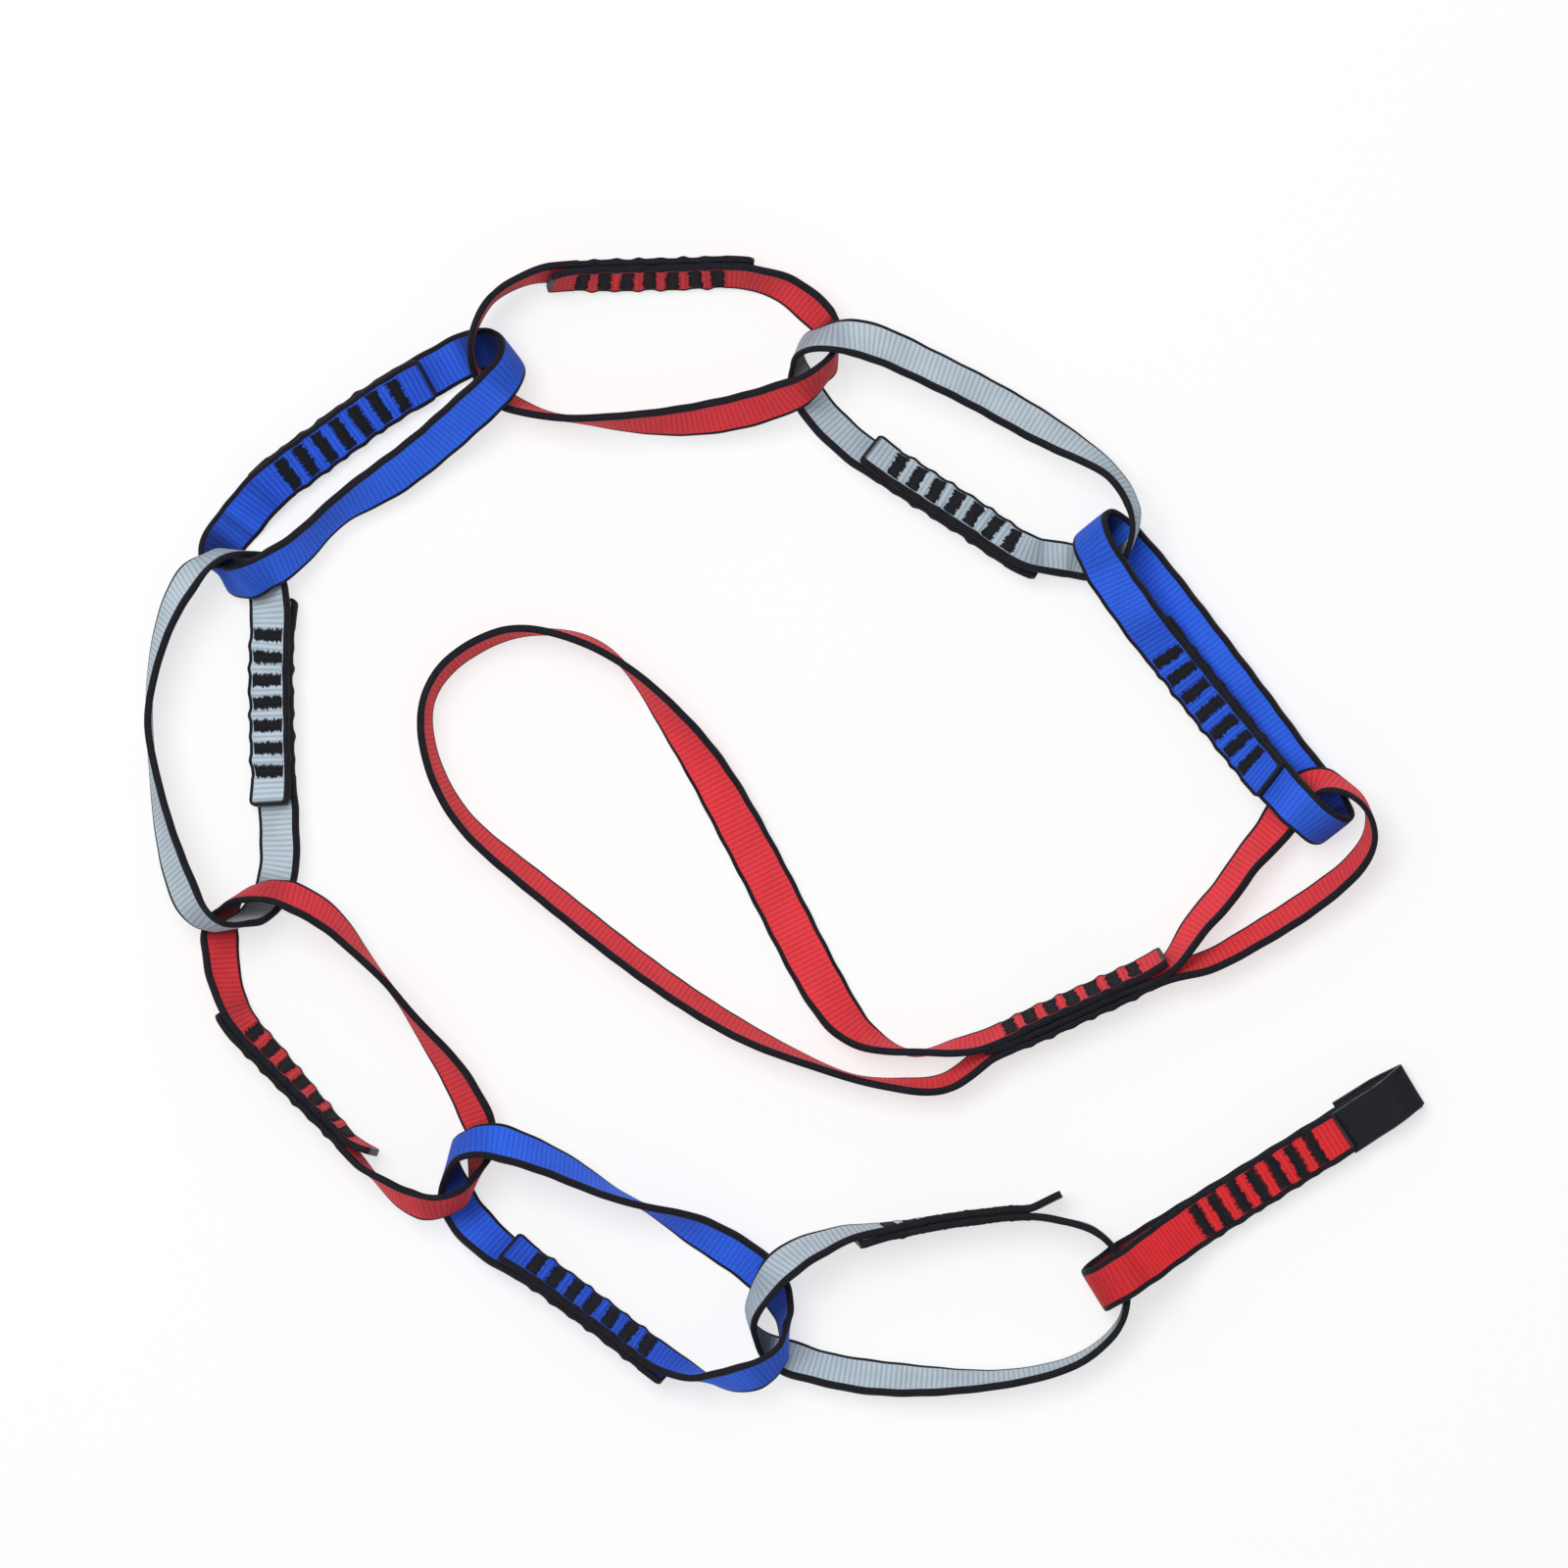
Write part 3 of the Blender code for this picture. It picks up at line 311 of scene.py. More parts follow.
# A strap that bends more tightly than about this radius is drawn thin there by the loop it holds.
# That begins at DRAWN_FROM of such a bend.
DRAWN_RADIUS = 0.020
DRAWN_FROM = 0.5


class Strip:
    """A strip of webbing, known at many fine steps along its length."""

    def __init__(self, stations, place, turn, side, closed, flares):
        origin, heading, span = place
        table = np.array(stations, float)
        along = np.array([math.cos(heading), math.sin(heading), 0])
        across = np.array([-along[1], along[0], 0])
        plan = np.outer(table[:, 0], along) + np.outer(table[:, 1], across)
        lifts = table[:, 2] * WEB_WIDTH - FLOOR_CUT
        rows = np.column_stack([origin + plan * span + np.outer(lifts, [0, 0, 1]), table[:, 3:]])
        ends = np.vstack([rows, rows[:1]]) if closed else rows
        knots = running_length(ends[:, :3])
        self.loop, sling_lap = knots[-1], len(SLING_LAP_SHARES)
        self.lap = LAP_LENGTH if closed else knots[sling_lap - 1]
        passes = [0, sling_lap + len(LARGE_LOOP_SHARES), -sling_lap]
        self.laps = [0, self.loop] if closed else list(knots[passes])
        self.length = self.loop + LAP_LENGTH if closed else self.loop
        self.places = np.linspace(0, self.length, FINE_STEPS)
        self.turn, self.side = turn, across * side
        pitch = WEB_THICKNESS + PLY_CLEARANCE
        start, end = self.places, self.length - self.places
        outer, inner = (1 - ease((run - self.lap) / LAP_BLEND) for run in (start, end))
        for _ in range(LEVEL_PASSES):
            fine = spline_points(knots, rows, spline_slopes(knots, rows, closed), self.places, closed)
            line = fine[:, :3]
            self.face_along(line, fine[:, 3] * RIGHT_ANGLE)
            low = self.lowest(line, pitch * ((outer + inner) / 2 if closed else fine[:, 5]))
            rows[:, 2] += lifts - np.interp(knots[:len(rows)], self.places, low)
        flare = TAIL_FLARE * (flares[0] * np.clip(1 - start / TAIL_LENGTH, 0, 1) ** TAIL_POWER
                              - flares[1] * np.clip(1 - end / TAIL_LENGTH, 0, 1) ** TAIL_POWER)
        ply = (outer - inner) / 2 if closed else fine[:, 4]
        self.middle = line + self.outward * (ply * pitch + flare)[:, None]
        self.outward = unit(turn * np.cross(unit(np.gradient(self.middle, axis=0)), self.width))
        bend = np.linalg.norm(np.gradient(self.ahead, self.places, axis=0), axis=1)
        self.drawn = ease(bend * DRAWN_RADIUS - DRAWN_FROM)
        # The sling's small loop lies open to the light, so only the links get painted shade in their
        # folds
        self.folded = self.drawn * closed

    def face_along(self, line, lean):
        """Turns the strip's width square to the line, with its lean."""
        self.ahead = unit(np.gradient(line, axis=0))
        flat = unit(self.ahead * [1, 1, 0])
        towards = self.side if self.side.any() else self.turn * np.cross(flat, [0, 0, 1])
        width = np.outer(np.cos(lean), [0, 0, 1]) + np.sin(lean)[:, None] * towards
        width -= np.sum(width * self.ahead, axis=1)[:, None] * self.ahead
        self.width = unit(width)
        self.outward = self.turn * np.cross(self.ahead, self.width)

    def lowest(self, line, reach):
        """Height of the lowest corner of all plies."""
        across = WEB_WIDTH / 2 - np.array([0, SELVEDGE_BEVEL])
        deep = WEB_THICKNESS / 2 - np.array([SELVEDGE_BEVEL, 0])
        rise, tip = np.abs(self.width[:, 2]), np.abs(self.outward[:, 2])
        corners = np.outer(rise, across) + np.outer(tip, deep)
        return line[:, 2] - corners.max(axis=1) - reach * tip

    def at(self, places):
        """Middle, width direction and outward direction at the given places."""
        middle, width, outward = (
            np.column_stack([np.interp(places, self.places, axis) for axis in part.T])
            for part in (self.middle, self.width, self.outward)
        )
        return middle, unit(width), unit(outward)


# %% [markdown]
# The loops follow one another from the sling outward: each starts where the one before lets it
# through. The first joint of the frame says where that begins, so each loop lies over its solid.

# %% Every strip in its place
def sling_stations():
    """The whole strip of the sling, with the ply that each station belongs to."""
    first = [(a, c, z, lean, 1, 1) for a, c, z, lean in SLING_LAP_SHARES]
    back = [(a, c, z, -2 - lean, -1, 1) for a, c, z, lean in reversed(SLING_LAP_SHARES)]
    last = [(a, c, z, lean - 2, 0, 1) for a, c, z, lean in SLING_LAP_SHARES]
    large = [station + (0, 0) for station in LARGE_LOOP_SHARES]
    small = [station + (0, 0) for station in SMALL_LOOP_SHARES]
    large[0] = large[0][:4] + (PARTING_SHARE, PARTING_SHARE)
    large[-1] = large[-1][:4] + (-PARTING_SHARE, PARTING_SHARE)
    small[0] = small[0][:4] + (-PARTING_SHARE, PARTING_SHARE)
    return first + large + back + small + last


first_joint = next(joint for joint in frame["joints"] if joint["child"] == "link_1")
origin = np.array([first_joint["pos_m"][0], first_joint["pos_m"][1], 0.0])
sling_place = (origin, math.radians(SLING_HEADING), SLING_LENGTH)
strips = {"tie_in_sling": Strip(sling_stations(), sling_place, 1, 0, False, SLING_FLARES)}
colour_of = {"tie_in_sling": "red"}
for name, colour, heading, share, turn, side, stations, flares in LINKS:
    heading, span = math.radians(heading), share * LINK_LENGTH
    strips[name] = Strip(stations, (origin, heading, span), turn, side, True, flares)
    colour_of[name] = colour
    origin = origin + span * np.array([math.cos(heading), math.sin(heading), 0])
for name, strip in strips.items():
    print(f"{name}: {strip.length * 1000:.0f} mm of webbing")

# %% [markdown]
# ## The webbing's soft section
# Tape webbing is not a flat bar. Its two edges are round, its faces are a little full, and where it
# is sewn the thread pulls the plies together and the cloth puffs up between one bar of stitches and
# the next. All of this is done in the sweep, point by point, because a strap of constant section
# with a bump map still has a straight, hard outline.

# %% Where the stitches pull and the cloth puffs
BAR_COUNT = 7
BAR_PITCH = 0.0077
BAR_WIDTH = 0.0030
BAR_LENGTH = 0.0117
PULL = 0.00028
PUFF = 0.00034
PINCH = 0.00022
# The pull is full as far as this from the middle of a bar
FULL_PULL = BAR_WIDTH / 3
# No two bars pull alike: mean, spread and wavelength of their strength
UNEVEN_MEAN = 0.8
UNEVEN_SPREAD = 0.35
UNEVEN_LENGTH = 0.0185
PLY_FILL = 0.00015
EDGE_WAVE = 0.00012
EDGE_ROLL = 0.00030
WAVE_LENGTH = 0.0123


def bar_places(strip, start):
    """Middle of each bar of stitches along the lapped ply that begins at start."""
    row = BAR_PITCH * (BAR_COUNT - 1)
    return start + (strip.lap - row) / 2 + BAR_PITCH * np.arange(BAR_COUNT)


def sewn(strip, start, places):
    """From 1 under a bar of stitches to -1 midway between two bars, and 0 away from the row."""
    bars = bar_places(strip, start)
    away = np.abs(places[:, None] - bars[None]).min(axis=1)
    outside = np.maximum(bars[0] - places, places - bars[-1])
    wave = 1 - 2 * ease((away - FULL_PULL) / (BAR_PITCH / 2 - FULL_PULL))
    phase = 2 * math.pi * (places + strip.length) / UNEVEN_LENGTH
    uneven = UNEVEN_MEAN + UNEVEN_SPREAD * np.sin(phase)
    return uneven * np.where(outside > 0, np.maximum(wave, 0), wave)


def lapped(strip, start, places):
    """1 on the lapped ply that begins at start, falling to 0 just past its ends."""
    before, after = start - places, places - start - strip.lap
    return (1 - ease(before / LAP_BLEND)) * (1 - ease(after / LAP_BLEND))


# %% [markdown]
# The section is a superellipse, which is the shape between an ellipse and a box. Each face gets its
# own height: a ply's free face takes the pull and the puff, and the face that lies on its neighbour
# fills the little gap that the solids keep between plies. The hot knife that cuts the strap also
# rounds the corners of its two ends, so the width shrinks along a quarter circle there.

# %% A point on the webbing's skin
SECTION_POWER = 8
# The section's power, and how much narrower it is on each side, where the strap is drawn thin
DRAWN_POWER = 5
DRAWN_PINCH = 0.00015
CORNER_RADIUS = 0.0022
# Where a selvedge begins to thicken, and over how much of the half width it does
ROLL_FROM = 0.76
ROLL_OVER = 0.14


def face_heights(strip, places):
    """Heights and rolls of the outer and the inner face, the edge's pinch and the section's power."""
    heights = np.full((2, len(places)), WEB_THICKNESS / 2)
    rolls = np.full((2, len(places)), EDGE_ROLL)
    pinch = EDGE_WAVE * np.sin(2 * math.pi * places / WAVE_LENGTH)
    bent = np.clip(CORNER_RADIUS - np.minimum(places, strip.length - places), 0, CORNER_RADIUS)
    pinch += CORNER_RADIUS - np.sqrt(CORNER_RADIUS ** 2 - bent ** 2)
    drawn = np.interp(places, strip.places, strip.drawn)
    rolls *= 1 - drawn
    pinch += DRAWN_PINCH * drawn
    for number, start in enumerate(strip.laps):
        on = lapped(strip, start, places)
        pull = sewn(strip, start, places)
        swell = PUFF * np.maximum(-pull, 0) - PULL * np.maximum(pull, 0)
        for face in range(2):
            free = number == face
            heights[face] += on * (swell if free else PLY_FILL)
            rolls[face] *= 1 if free else 1 - on
        pinch += PINCH * on * pull
    power = SECTION_POWER + (DRAWN_POWER - SECTION_POWER) * drawn
    return heights, rolls, pinch, power


def skin(strip, places, across, face, lift=0.0):
    """Points at a share of the half width (-1 to 1) on the outer (1) or inner (-1) face."""
    middle, width, outward = strip.at(places)
    heights, rolls, pinch, power = face_heights(strip, places)
    side = 0 if face > 0 else 1
    rolled = rolls[side] * ease((np.abs(across) - ROLL_FROM) / ROLL_OVER)
    height = (heights[side] + rolled) * (1 - np.abs(across) ** power) ** (1 / power)
    aside = (WEB_WIDTH / 2 - pinch) * across
    return middle + width * aside[:, None] + outward * (face * (height + lift))[:, None]


# %% [markdown]
# A mesh that follows the strap can carry facts for its material: how far across and along each
# point lies, and how near it is to a cut end. The weave then runs with the strap through every
# twist, which a pattern placed in world space could not do.

# %% Helpers for swept meshes
FACE_POINTS = 17


def add_mesh(name, points, faces, facts=()):
    """An object from points and faces, smooth shaded, with named values on its points."""
    mesh = bpy.data.meshes.new(name)
    mesh.from_pydata(points.tolist(), [], faces)
    for fact, values in dict(facts).items():
        layer = mesh.attributes.new(fact, "FLOAT", "POINT")
        layer.data.foreach_set("value", np.asarray(values, np.float32))
    mesh.shade_smooth()
    piece = bpy.data.objects.new(name, mesh)
    bpy.context.scene.collection.objects.link(piece)
    return piece


def tube_faces(rings, count):
    """Quads between rings of count points each, and a cap at both ends."""
    last, faces = (rings - 1) * count, []
    for low in range(0, last, count):
        for k in range(count):
            after = (k + 1) % count
            faces.append((low + k, low + after, low + count + after, low + count + k))
    return faces + [tuple(range(count))[::-1], tuple(range(last, last + count))]


def section_ring():
    """Share across and face of each point round the section, the outer face first."""
    shares = [math.sin(angle) for angle in np.linspace(-RIGHT_ANGLE, RIGHT_ANGLE, FACE_POINTS)]
    return [(share, 1) for share in shares] + [(share, -1) for share in shares[-2:0:-1]]


def ring_points(rows):
    """All points ring by ring, from one row of points for each place round the section."""
    points = np.stack(rows, axis=1).reshape(-1, 3)
    # Cloth and thread are flat where they lie on the floor
    points[:, 2] = np.maximum(points[:, 2], 0)
    return points


# %% [markdown]
# Close to a cut end the rings stand nearer together, for the round corners and the melted edge. The
# skin also carries how deep in a fold it lies, for a painted shade there, since little light gets in.

# %% Sweep the webbing
PRESSED_LINK = "end_link"
# How much of the painted fold shade a fold's outer face gets, as a share of its inner face
OUTER_SHADE = 0.3
SKIN_STEP = 0.0007
END_STEPS = (0, 0.0001, 0.0003, 0.0006, 0.0010, 0.0015, 0.0021, 0.0028, 0.0035)
# The edge is fully melted for this share of SEALED_END, and the melt fades over one SEALED_END more
SEALED_FULL = 0.6
SEALED_END = 0.0012


def strap_piece(name, strip, pressed):
    """The whole strip of webbing as one closed skin."""
    ends = np.array(END_STEPS)
    even = np.linspace(ends[-1], strip.length - ends[-1], round(strip.length / SKIN_STEP))
    places = np.concatenate([ends[:-1], even, strip.length - ends[-2::-1]])
    ring = section_ring()
    rows = [skin(strip, places, np.full(len(places), across), face) for across, face in ring]
    from_end = np.minimum(places, strip.length - places)
    gathered = np.max([lapped(strip, start, places) for start in strip.laps], axis=0)
    # Painted shade: inner faces darken in tight folds and over all of the pressed link, outer faces a
    # little
    folded = np.interp(places, strip.places, strip.folded)
    painted_fold_shade = {1: OUTER_SHADE * folded, -1: np.ones(len(places)) if pressed else folded}
    facts = {
        "across_mm": np.tile([across * WEB_WIDTH * 500 for across, _ in ring], len(places)),
        "along_mm": np.repeat(places * 1000, len(ring)),
        "sealed": np.repeat(1 - ease(from_end / SEALED_END - SEALED_FULL), len(ring)),
        "gathered": np.repeat(gathered, len(ring)),
        "painted_fold_shade": np.column_stack([painted_fold_shade[face] for _, face in ring]).ravel(),
    }
    faces = tube_faces(len(places), len(ring))
    if strip.turn > 0:
        faces = [face[::-1] for face in faces]
    return add_mesh(name, ring_points(rows), faces, facts)


straps = {
    name: strap_piece(f"{name}_strap", strip, name == PRESSED_LINK) for name, strip in strips.items()
}
print("straps have", sum(len(strap.data.polygons) for strap in straps.values()), "faces")

# %% [markdown]
# ## Helpers for materials
# Every material here is arithmetic on the values that the meshes carry. With one small function for
# each kind of step, a material reads like a formula.

# %% Helpers for node trees
def new_surface(name):
    """A material with its shader, ready for nodes."""
    surface = bpy.data.materials.new(name)
    surface.use_nodes = True
    return surface, surface.node_tree, surface.node_tree.nodes["Principled BSDF"]


def feed(tree, socket, value):
    """Gives a socket a link or a plain value."""
    if isinstance(value, bpy.types.NodeSocket):
        tree.links.new(value, socket)
    else:
        socket.default_value = value


def reckon(tree, operation, *values, clamp=False):
    """One step of arithmetic between nodes."""
    node = tree.nodes.new("ShaderNodeMath")
    node.operation = operation
    node.use_clamp = clamp
    for socket, value in zip(node.inputs, values):
        feed(tree, socket, value)
    return node.outputs[0]


def blend_colour(tree, share, first, second):
    """From the first colour to the second."""
    node = tree.nodes.new("ShaderNodeMix")
    node.data_type = "RGBA"
    # The node has inputs and an output for every kind of value, and these are the colour's
    for number, value in ((0, share), (6, first), (7, second)):
        feed(tree, node.inputs[number], value)
    return node.outputs[2]


def carried(tree, fact):
    """A value that the mesh carries."""
    node = tree.nodes.new("ShaderNodeAttribute")
    node.attribute_name = fact
    return node.outputs["Fac"]


def cloudy(tree, scale, detail=3.0):
    """Soft noise in the object's own space."""
    place = tree.nodes.new("ShaderNodeTexCoord")
    noise = tree.nodes.new("ShaderNodeTexNoise")
    noise.inputs["Scale"].default_value = scale
    noise.inputs["Detail"].default_value = detail
    tree.links.new(place.outputs["Object"], noise.inputs["Vector"])
    return noise.outputs["Fac"]


def cover(tree, shader, colour, rough, specular, height, depth):
    """Gives the shader its colour and shine, and a bump of some depth from a height."""
    feed(tree, shader.inputs["Base Color"], colour)
    feed(tree, shader.inputs["Roughness"], rough)
    shader.inputs["Specular IOR Level"].default_value = specular
    bump = tree.nodes.new("ShaderNodeBump")
    bump.inputs["Distance"].default_value = depth
    feed(tree, bump.inputs["Height"], height)
    tree.links.new(bump.outputs["Normal"], shader.inputs["Normal"])


# %% [markdown]
# ## The woven face
# Close up, this webbing is ribbed: thick cross picks every two millimetres, with finer yarns running
# lengthwise over them, a half step apart from rib to rib. Both are plain sine waves of the two
# lengths that the mesh carries. They make the bump, and they also darken the colour in the
# valleys as painted shade, since less light gets in there.

# %% Ribbed webbing with black selvedges
RIB_MM = 1.75
YARN_MM = 0.8
# Below 1, so that the ribs are broad and the valleys between them narrow
RIB_POWER = 0.55
RIB_SHARE = 0.7
RIB_DEPTH = 0.00014
RIB_SHADE = 0.65
# The black begins here, with teeth where the ribs cross into it
SELVEDGE_MM = 6.4
SELVEDGE_CONTRAST = 6.0
SELVEDGE_TEETH = 0.5
# The end link is pressed flat, so more of its selvedges shows
PRESSED_SELVEDGE_MM = 6.05
# Painted shade, towards black, in tight folds and all over the inside of the link pressed flat
FOLD_SHADE = 0.80
BLACK = (0.0040, 0.0037, 0.0062, 1.0)
WORN_BLACK = tuple(2.6 * part for part in BLACK[:3]) + (1.0,)
# Scales of the noise for faded patches, wear, roughness and fuzz
FADE_SCALE = 60.0
WEAR_SCALE = 400.0
ROUGH_SCALE = 250.0
FUZZ_SCALE = 2500.0
FUZZ_DETAIL = 2.0
FADE_SPAN = 0.5
FUZZ_SHARE = 0.25
WEB_ROUGHNESS = 0.62
ROUGH_SPAN = 0.2
SEALED_GLOSS = 0.3
CLOTH_SPECULAR = 0.14
WEB_SHEEN = 0.03


def woven_surface(name, colour, deep, lap_darkening, selvedge=SELVEDGE_MM):
    """Ribbed nylon webbing of one colour between black selvedges, painted shade in valleys and folds,
    darker where sewn.
    """
    surface, tree, shader = new_surface(name)
    across, along = carried(tree, "across_mm"), carried(tree, "along_mm")
    turns = reckon(tree, "MULTIPLY", along, 2 * math.pi / RIB_MM)
    rib = reckon(tree, "MULTIPLY_ADD", reckon(tree, "COSINE", turns), 0.5, 0.5)
    rib = reckon(tree, "POWER", rib, RIB_POWER)
    row = reckon(tree, "FLOOR", reckon(tree, "DIVIDE", along, RIB_MM))
    shifted = reckon(tree, "ADD", across, reckon(tree, "MULTIPLY", row, YARN_MM / 2))
    yarn = reckon(tree, "SINE", reckon(tree, "MULTIPLY", shifted, math.pi / YARN_MM))
    yarn = reckon(tree, "MULTIPLY", reckon(tree, "ABSOLUTE", yarn), 1 - RIB_SHARE)
    height = reckon(tree, "ADD", reckon(tree, "MULTIPLY", rib, RIB_SHARE), yarn)
    faded = reckon(tree, "MULTIPLY_ADD", cloudy(tree, FADE_SCALE), FADE_SPAN, -FADE_SPAN / 2)
    # The colour is made darker where the plies are sewn together in the lap
    faded = reckon(tree, "SUBTRACT", faded, reckon(tree, "MULTIPLY", carried(tree, "gathered"), lap_darkening))
    # Painted shade: the colour falls towards the valley colour where the weave is low
    tone = reckon(tree, "MULTIPLY_ADD", height, RIB_SHADE, 1 - RIB_SHADE)
    cloth = blend_colour(tree, reckon(tree, "ADD", tone, faded, clamp=True), deep, colour)
    # Painted shade in folds, blended towards black
    shade = reckon(tree, "MULTIPLY", carried(tree, "painted_fold_shade"), FOLD_SHADE)
    cloth = blend_colour(tree, shade, cloth, BLACK)
    edge = reckon(tree, "SUBTRACT", reckon(tree, "ABSOLUTE", across), selvedge)
    edge = reckon(tree, "MULTIPLY", edge, SELVEDGE_CONTRAST)
    edge = reckon(tree, "ADD", edge, reckon(tree, "MULTIPLY", rib, SELVEDGE_TEETH), clamp=True)
    sealed = carried(tree, "sealed")
    worn = blend_colour(tree, cloudy(tree, WEAR_SCALE), BLACK, WORN_BLACK)
    cloth = blend_colour(tree, reckon(tree, "MAXIMUM", edge, sealed), cloth, worn)
    rough = reckon(tree, "MULTIPLY_ADD", cloudy(tree, ROUGH_SCALE), ROUGH_SPAN, WEB_ROUGHNESS)
    rough = reckon(tree, "SUBTRACT", rough, reckon(tree, "MULTIPLY", sealed, SEALED_GLOSS))
    fuzz = reckon(tree, "MULTIPLY", cloudy(tree, FUZZ_SCALE, FUZZ_DETAIL), FUZZ_SHARE)
    cover(tree, shader, cloth, rough, CLOTH_SPECULAR, reckon(tree, "ADD", height, fuzz), RIB_DEPTH)
    shader.inputs["Sheen Weight"].default_value = WEB_SHEEN
    return surface


# Colour on the ribs, colour in the valleys with their painted shade, how much darker the sewn
# part is, and where the black begins
WEBBING_COLOURS = {
    "red": ((0.90, 0.055, 0.072, 1.0), (0.33, 0.014, 0.021, 1.0), 0.12),
    "blue": ((0.040, 0.170, 1.00, 1.0), (0.012, 0.048, 0.41, 1.0), 0.34),
    "grey": ((0.60, 0.71, 0.80, 1.0), (0.15, 0.19, 0.23, 1.0), 0.04),
    "pressed_red": ((0.88, 0.036, 0.046, 1.0), (0.33, 0.010, 0.014, 1.0), 0.12, PRESSED_SELVEDGE_MM),
}
webbing = {name: woven_surface(f"{name}_webbing", *tones) for name, tones in WEBBING_COLOURS.items()}
for name, strap in straps.items():
    strap.data.materials.append(webbing[colour_of[name]])
straps[PRESSED_LINK].data.materials[0] = webbing["pressed_red"]
print("woven:", ", ".join(surface.name for surface in webbing.values()))

# %% [markdown]
# ## The bar tacks
# A bar tack is a dense zig-zag: the machine swings across the bar's width while it crawls along it,
# then walks to the next bar and sews that one in the other direction. The seven bars of a lap are
# therefore one thread, and that is how it is drawn here, as one tube along one path. At every turn
# the thread dives through a needle hole, so the turns sit below the cloth's face. A seeded
# wobble keeps the rows of turns from looking printed.

# %% The path of one row of bar tacks
THREAD = 0.00056
SWINGS = 30
DIVE = 0.00020
RISE = 0.00026
WOBBLE = 0.00048
WALKING_STITCHES = 3
WALK_RISE = -0.00030
BAR_SWING = 0.0045
# Share of a swing from its turn, and share of the way from DIVE up to RISE there
SWING_SHARES = ((0.10, 0.85), (0.50, 1.00), (0.90, 0.85))


def tack_path(strip, start, seed):
    """Place along, share across and lift of the thread, from the first bar to the last."""
    chance = np.random.default_rng(seed)
    half = BAR_LENGTH / WEB_WIDTH
    route = []
    for bar, place in enumerate(bar_places(strip, start)):
        sense = 1 if bar % 2 else -1
        turns = np.arange(SWINGS + 1)
        wobble = chance.uniform(-WOBBLE, WOBBLE, len(turns))
        ends = place + BAR_SWING / 2 * np.where(turns % 2, 1, -1) + wobble
        across = sense * half * (2 * turns / SWINGS - 1)
        for swing in range(SWINGS):
            route.append((ends[swing], across[swing], -DIVE))
            for share, up in SWING_SHARES:
                route.append((ends[swing] + (ends[swing + 1] - ends[swing]) * share,
                              across[swing] + (across[swing + 1] - across[swing]) * share,
                              (RISE + DIVE) * up - DIVE))
        route.append((ends[-1], across[-1], -DIVE))
        if bar < BAR_COUNT - 1:
            steps = 2 * WALKING_STITCHES
            for step in range(1, steps):
                run = BAR_WIDTH / 2 + (BAR_PITCH - BAR_WIDTH) * step / steps
                route.append((place + run, sense * half, WALK_RISE if step % 2 else -DIVE))
    return np.array(route)


# %% [markdown]
# A tube needs a pair of directions across it at each point. Here one of them is simply the strap's
# outward direction, because the thread lies flat on the strap and never runs straight up for long.

# %% Lay a round thread along a path on the strap
THREAD_SIDES = 5


def thread_piece(name, strip, route, face, height=0.0):
    """One closed tube along a route of places, shares across and lifts on one face of the strap."""
    places, across, lifts = route.T
    line = skin(strip, places, across, face, height + lifts)
    ahead = unit(np.gradient(line, axis=0))
    away = strip.at(places)[2] * face
    up = unit(away - np.sum(away * ahead, axis=1)[:, None] * ahead)
    beside = np.cross(ahead, up)
    turns = np.linspace(0, 2 * math.pi, THREAD_SIDES, endpoint=False)
    rows = [line + THREAD / 2 * (math.cos(turn) * beside + math.sin(turn) * up) for turn in turns]
    facts = {
        "along_mm": np.repeat(running_length(line) * 1000, THREAD_SIDES),
        "round_share": np.tile(turns / (2 * math.pi), len(places)),
    }
    return add_mesh(name, ring_points(rows), tube_faces(len(places), THREAD_SIDES), facts)


threads = {}
for number, (name, strip) in enumerate(strips.items()):
    for word, start, face in zip(("needle", "bobbin"), strip.laps, (1, -1)):
        route = tack_path(strip, start, 2 * number + (face < 0))
        threads[name, word] = thread_piece(f"{name}_{word}_tacks", strip, route, face)
thread_faces = sum(len(thread.data.polygons) for thread in threads.values())
print(len(threads), "rows of bar tacks,", thread_faces, "faces")

# %% [markdown]
# Sewing thread is a twist of a few strands. Two slanting stripes along the tube, as bump and as a
# slightly paler line, are enough at this size, with a soft gloss since the thread is bonded.

# %% Black bonded thread
TWIST_MM = 0.9
STRANDS = 2
TWIST_DEPTH = 0.00008
LINT_SCALE = 900.0
LINT_SHARE = 0.5
THREAD_TONE = 0.6
THREAD_DEEP = (0.003, 0.003, 0.005, 1.0)
THREAD_PALE = (0.010, 0.011, 0.017, 1.0)
THREAD_ROUGH_SCALE = 700.0
THREAD_ROUGHNESS = 0.45
THREAD_SPECULAR = 0.18


def thread_surface(name):
    """Twisted black thread with a dull shine."""
    surface, tree, shader = new_surface(name)
    along, around = carried(tree, "along_mm"), carried(tree, "round_share")
    twist = reckon(tree, "ADD", reckon(tree, "DIVIDE", along, TWIST_MM), around)
    twist = reckon(tree, "SINE", reckon(tree, "MULTIPLY", twist, 2 * math.pi * STRANDS))
    strand = reckon(tree, "MULTIPLY_ADD", twist, 0.5, 0.5)
    lint = reckon(tree, "MULTIPLY", cloudy(tree, LINT_SCALE), LINT_SHARE)
    tone = reckon(tree, "MULTIPLY", reckon(tree, "ADD", strand, lint), THREAD_TONE, clamp=True)
    colour = blend_colour(tree, tone, THREAD_DEEP, THREAD_PALE)
    rough = cloudy(tree, THREAD_ROUGH_SCALE)
    rough = reckon(tree, "MULTIPLY_ADD", rough, ROUGH_SPAN, THREAD_ROUGHNESS)
    cover(tree, shader, colour, rough, THREAD_SPECULAR, strand, TWIST_DEPTH)
    return surface


black_thread = thread_surface("black_thread")
for thread in threads.values():
    thread.data.materials.append(black_thread)

# %% [markdown]
# ## The end label
# A plain woven label is folded round the far end of the last link and sewn through. It follows the
# strap's own line a little above its outer face, so the same directions carry it.

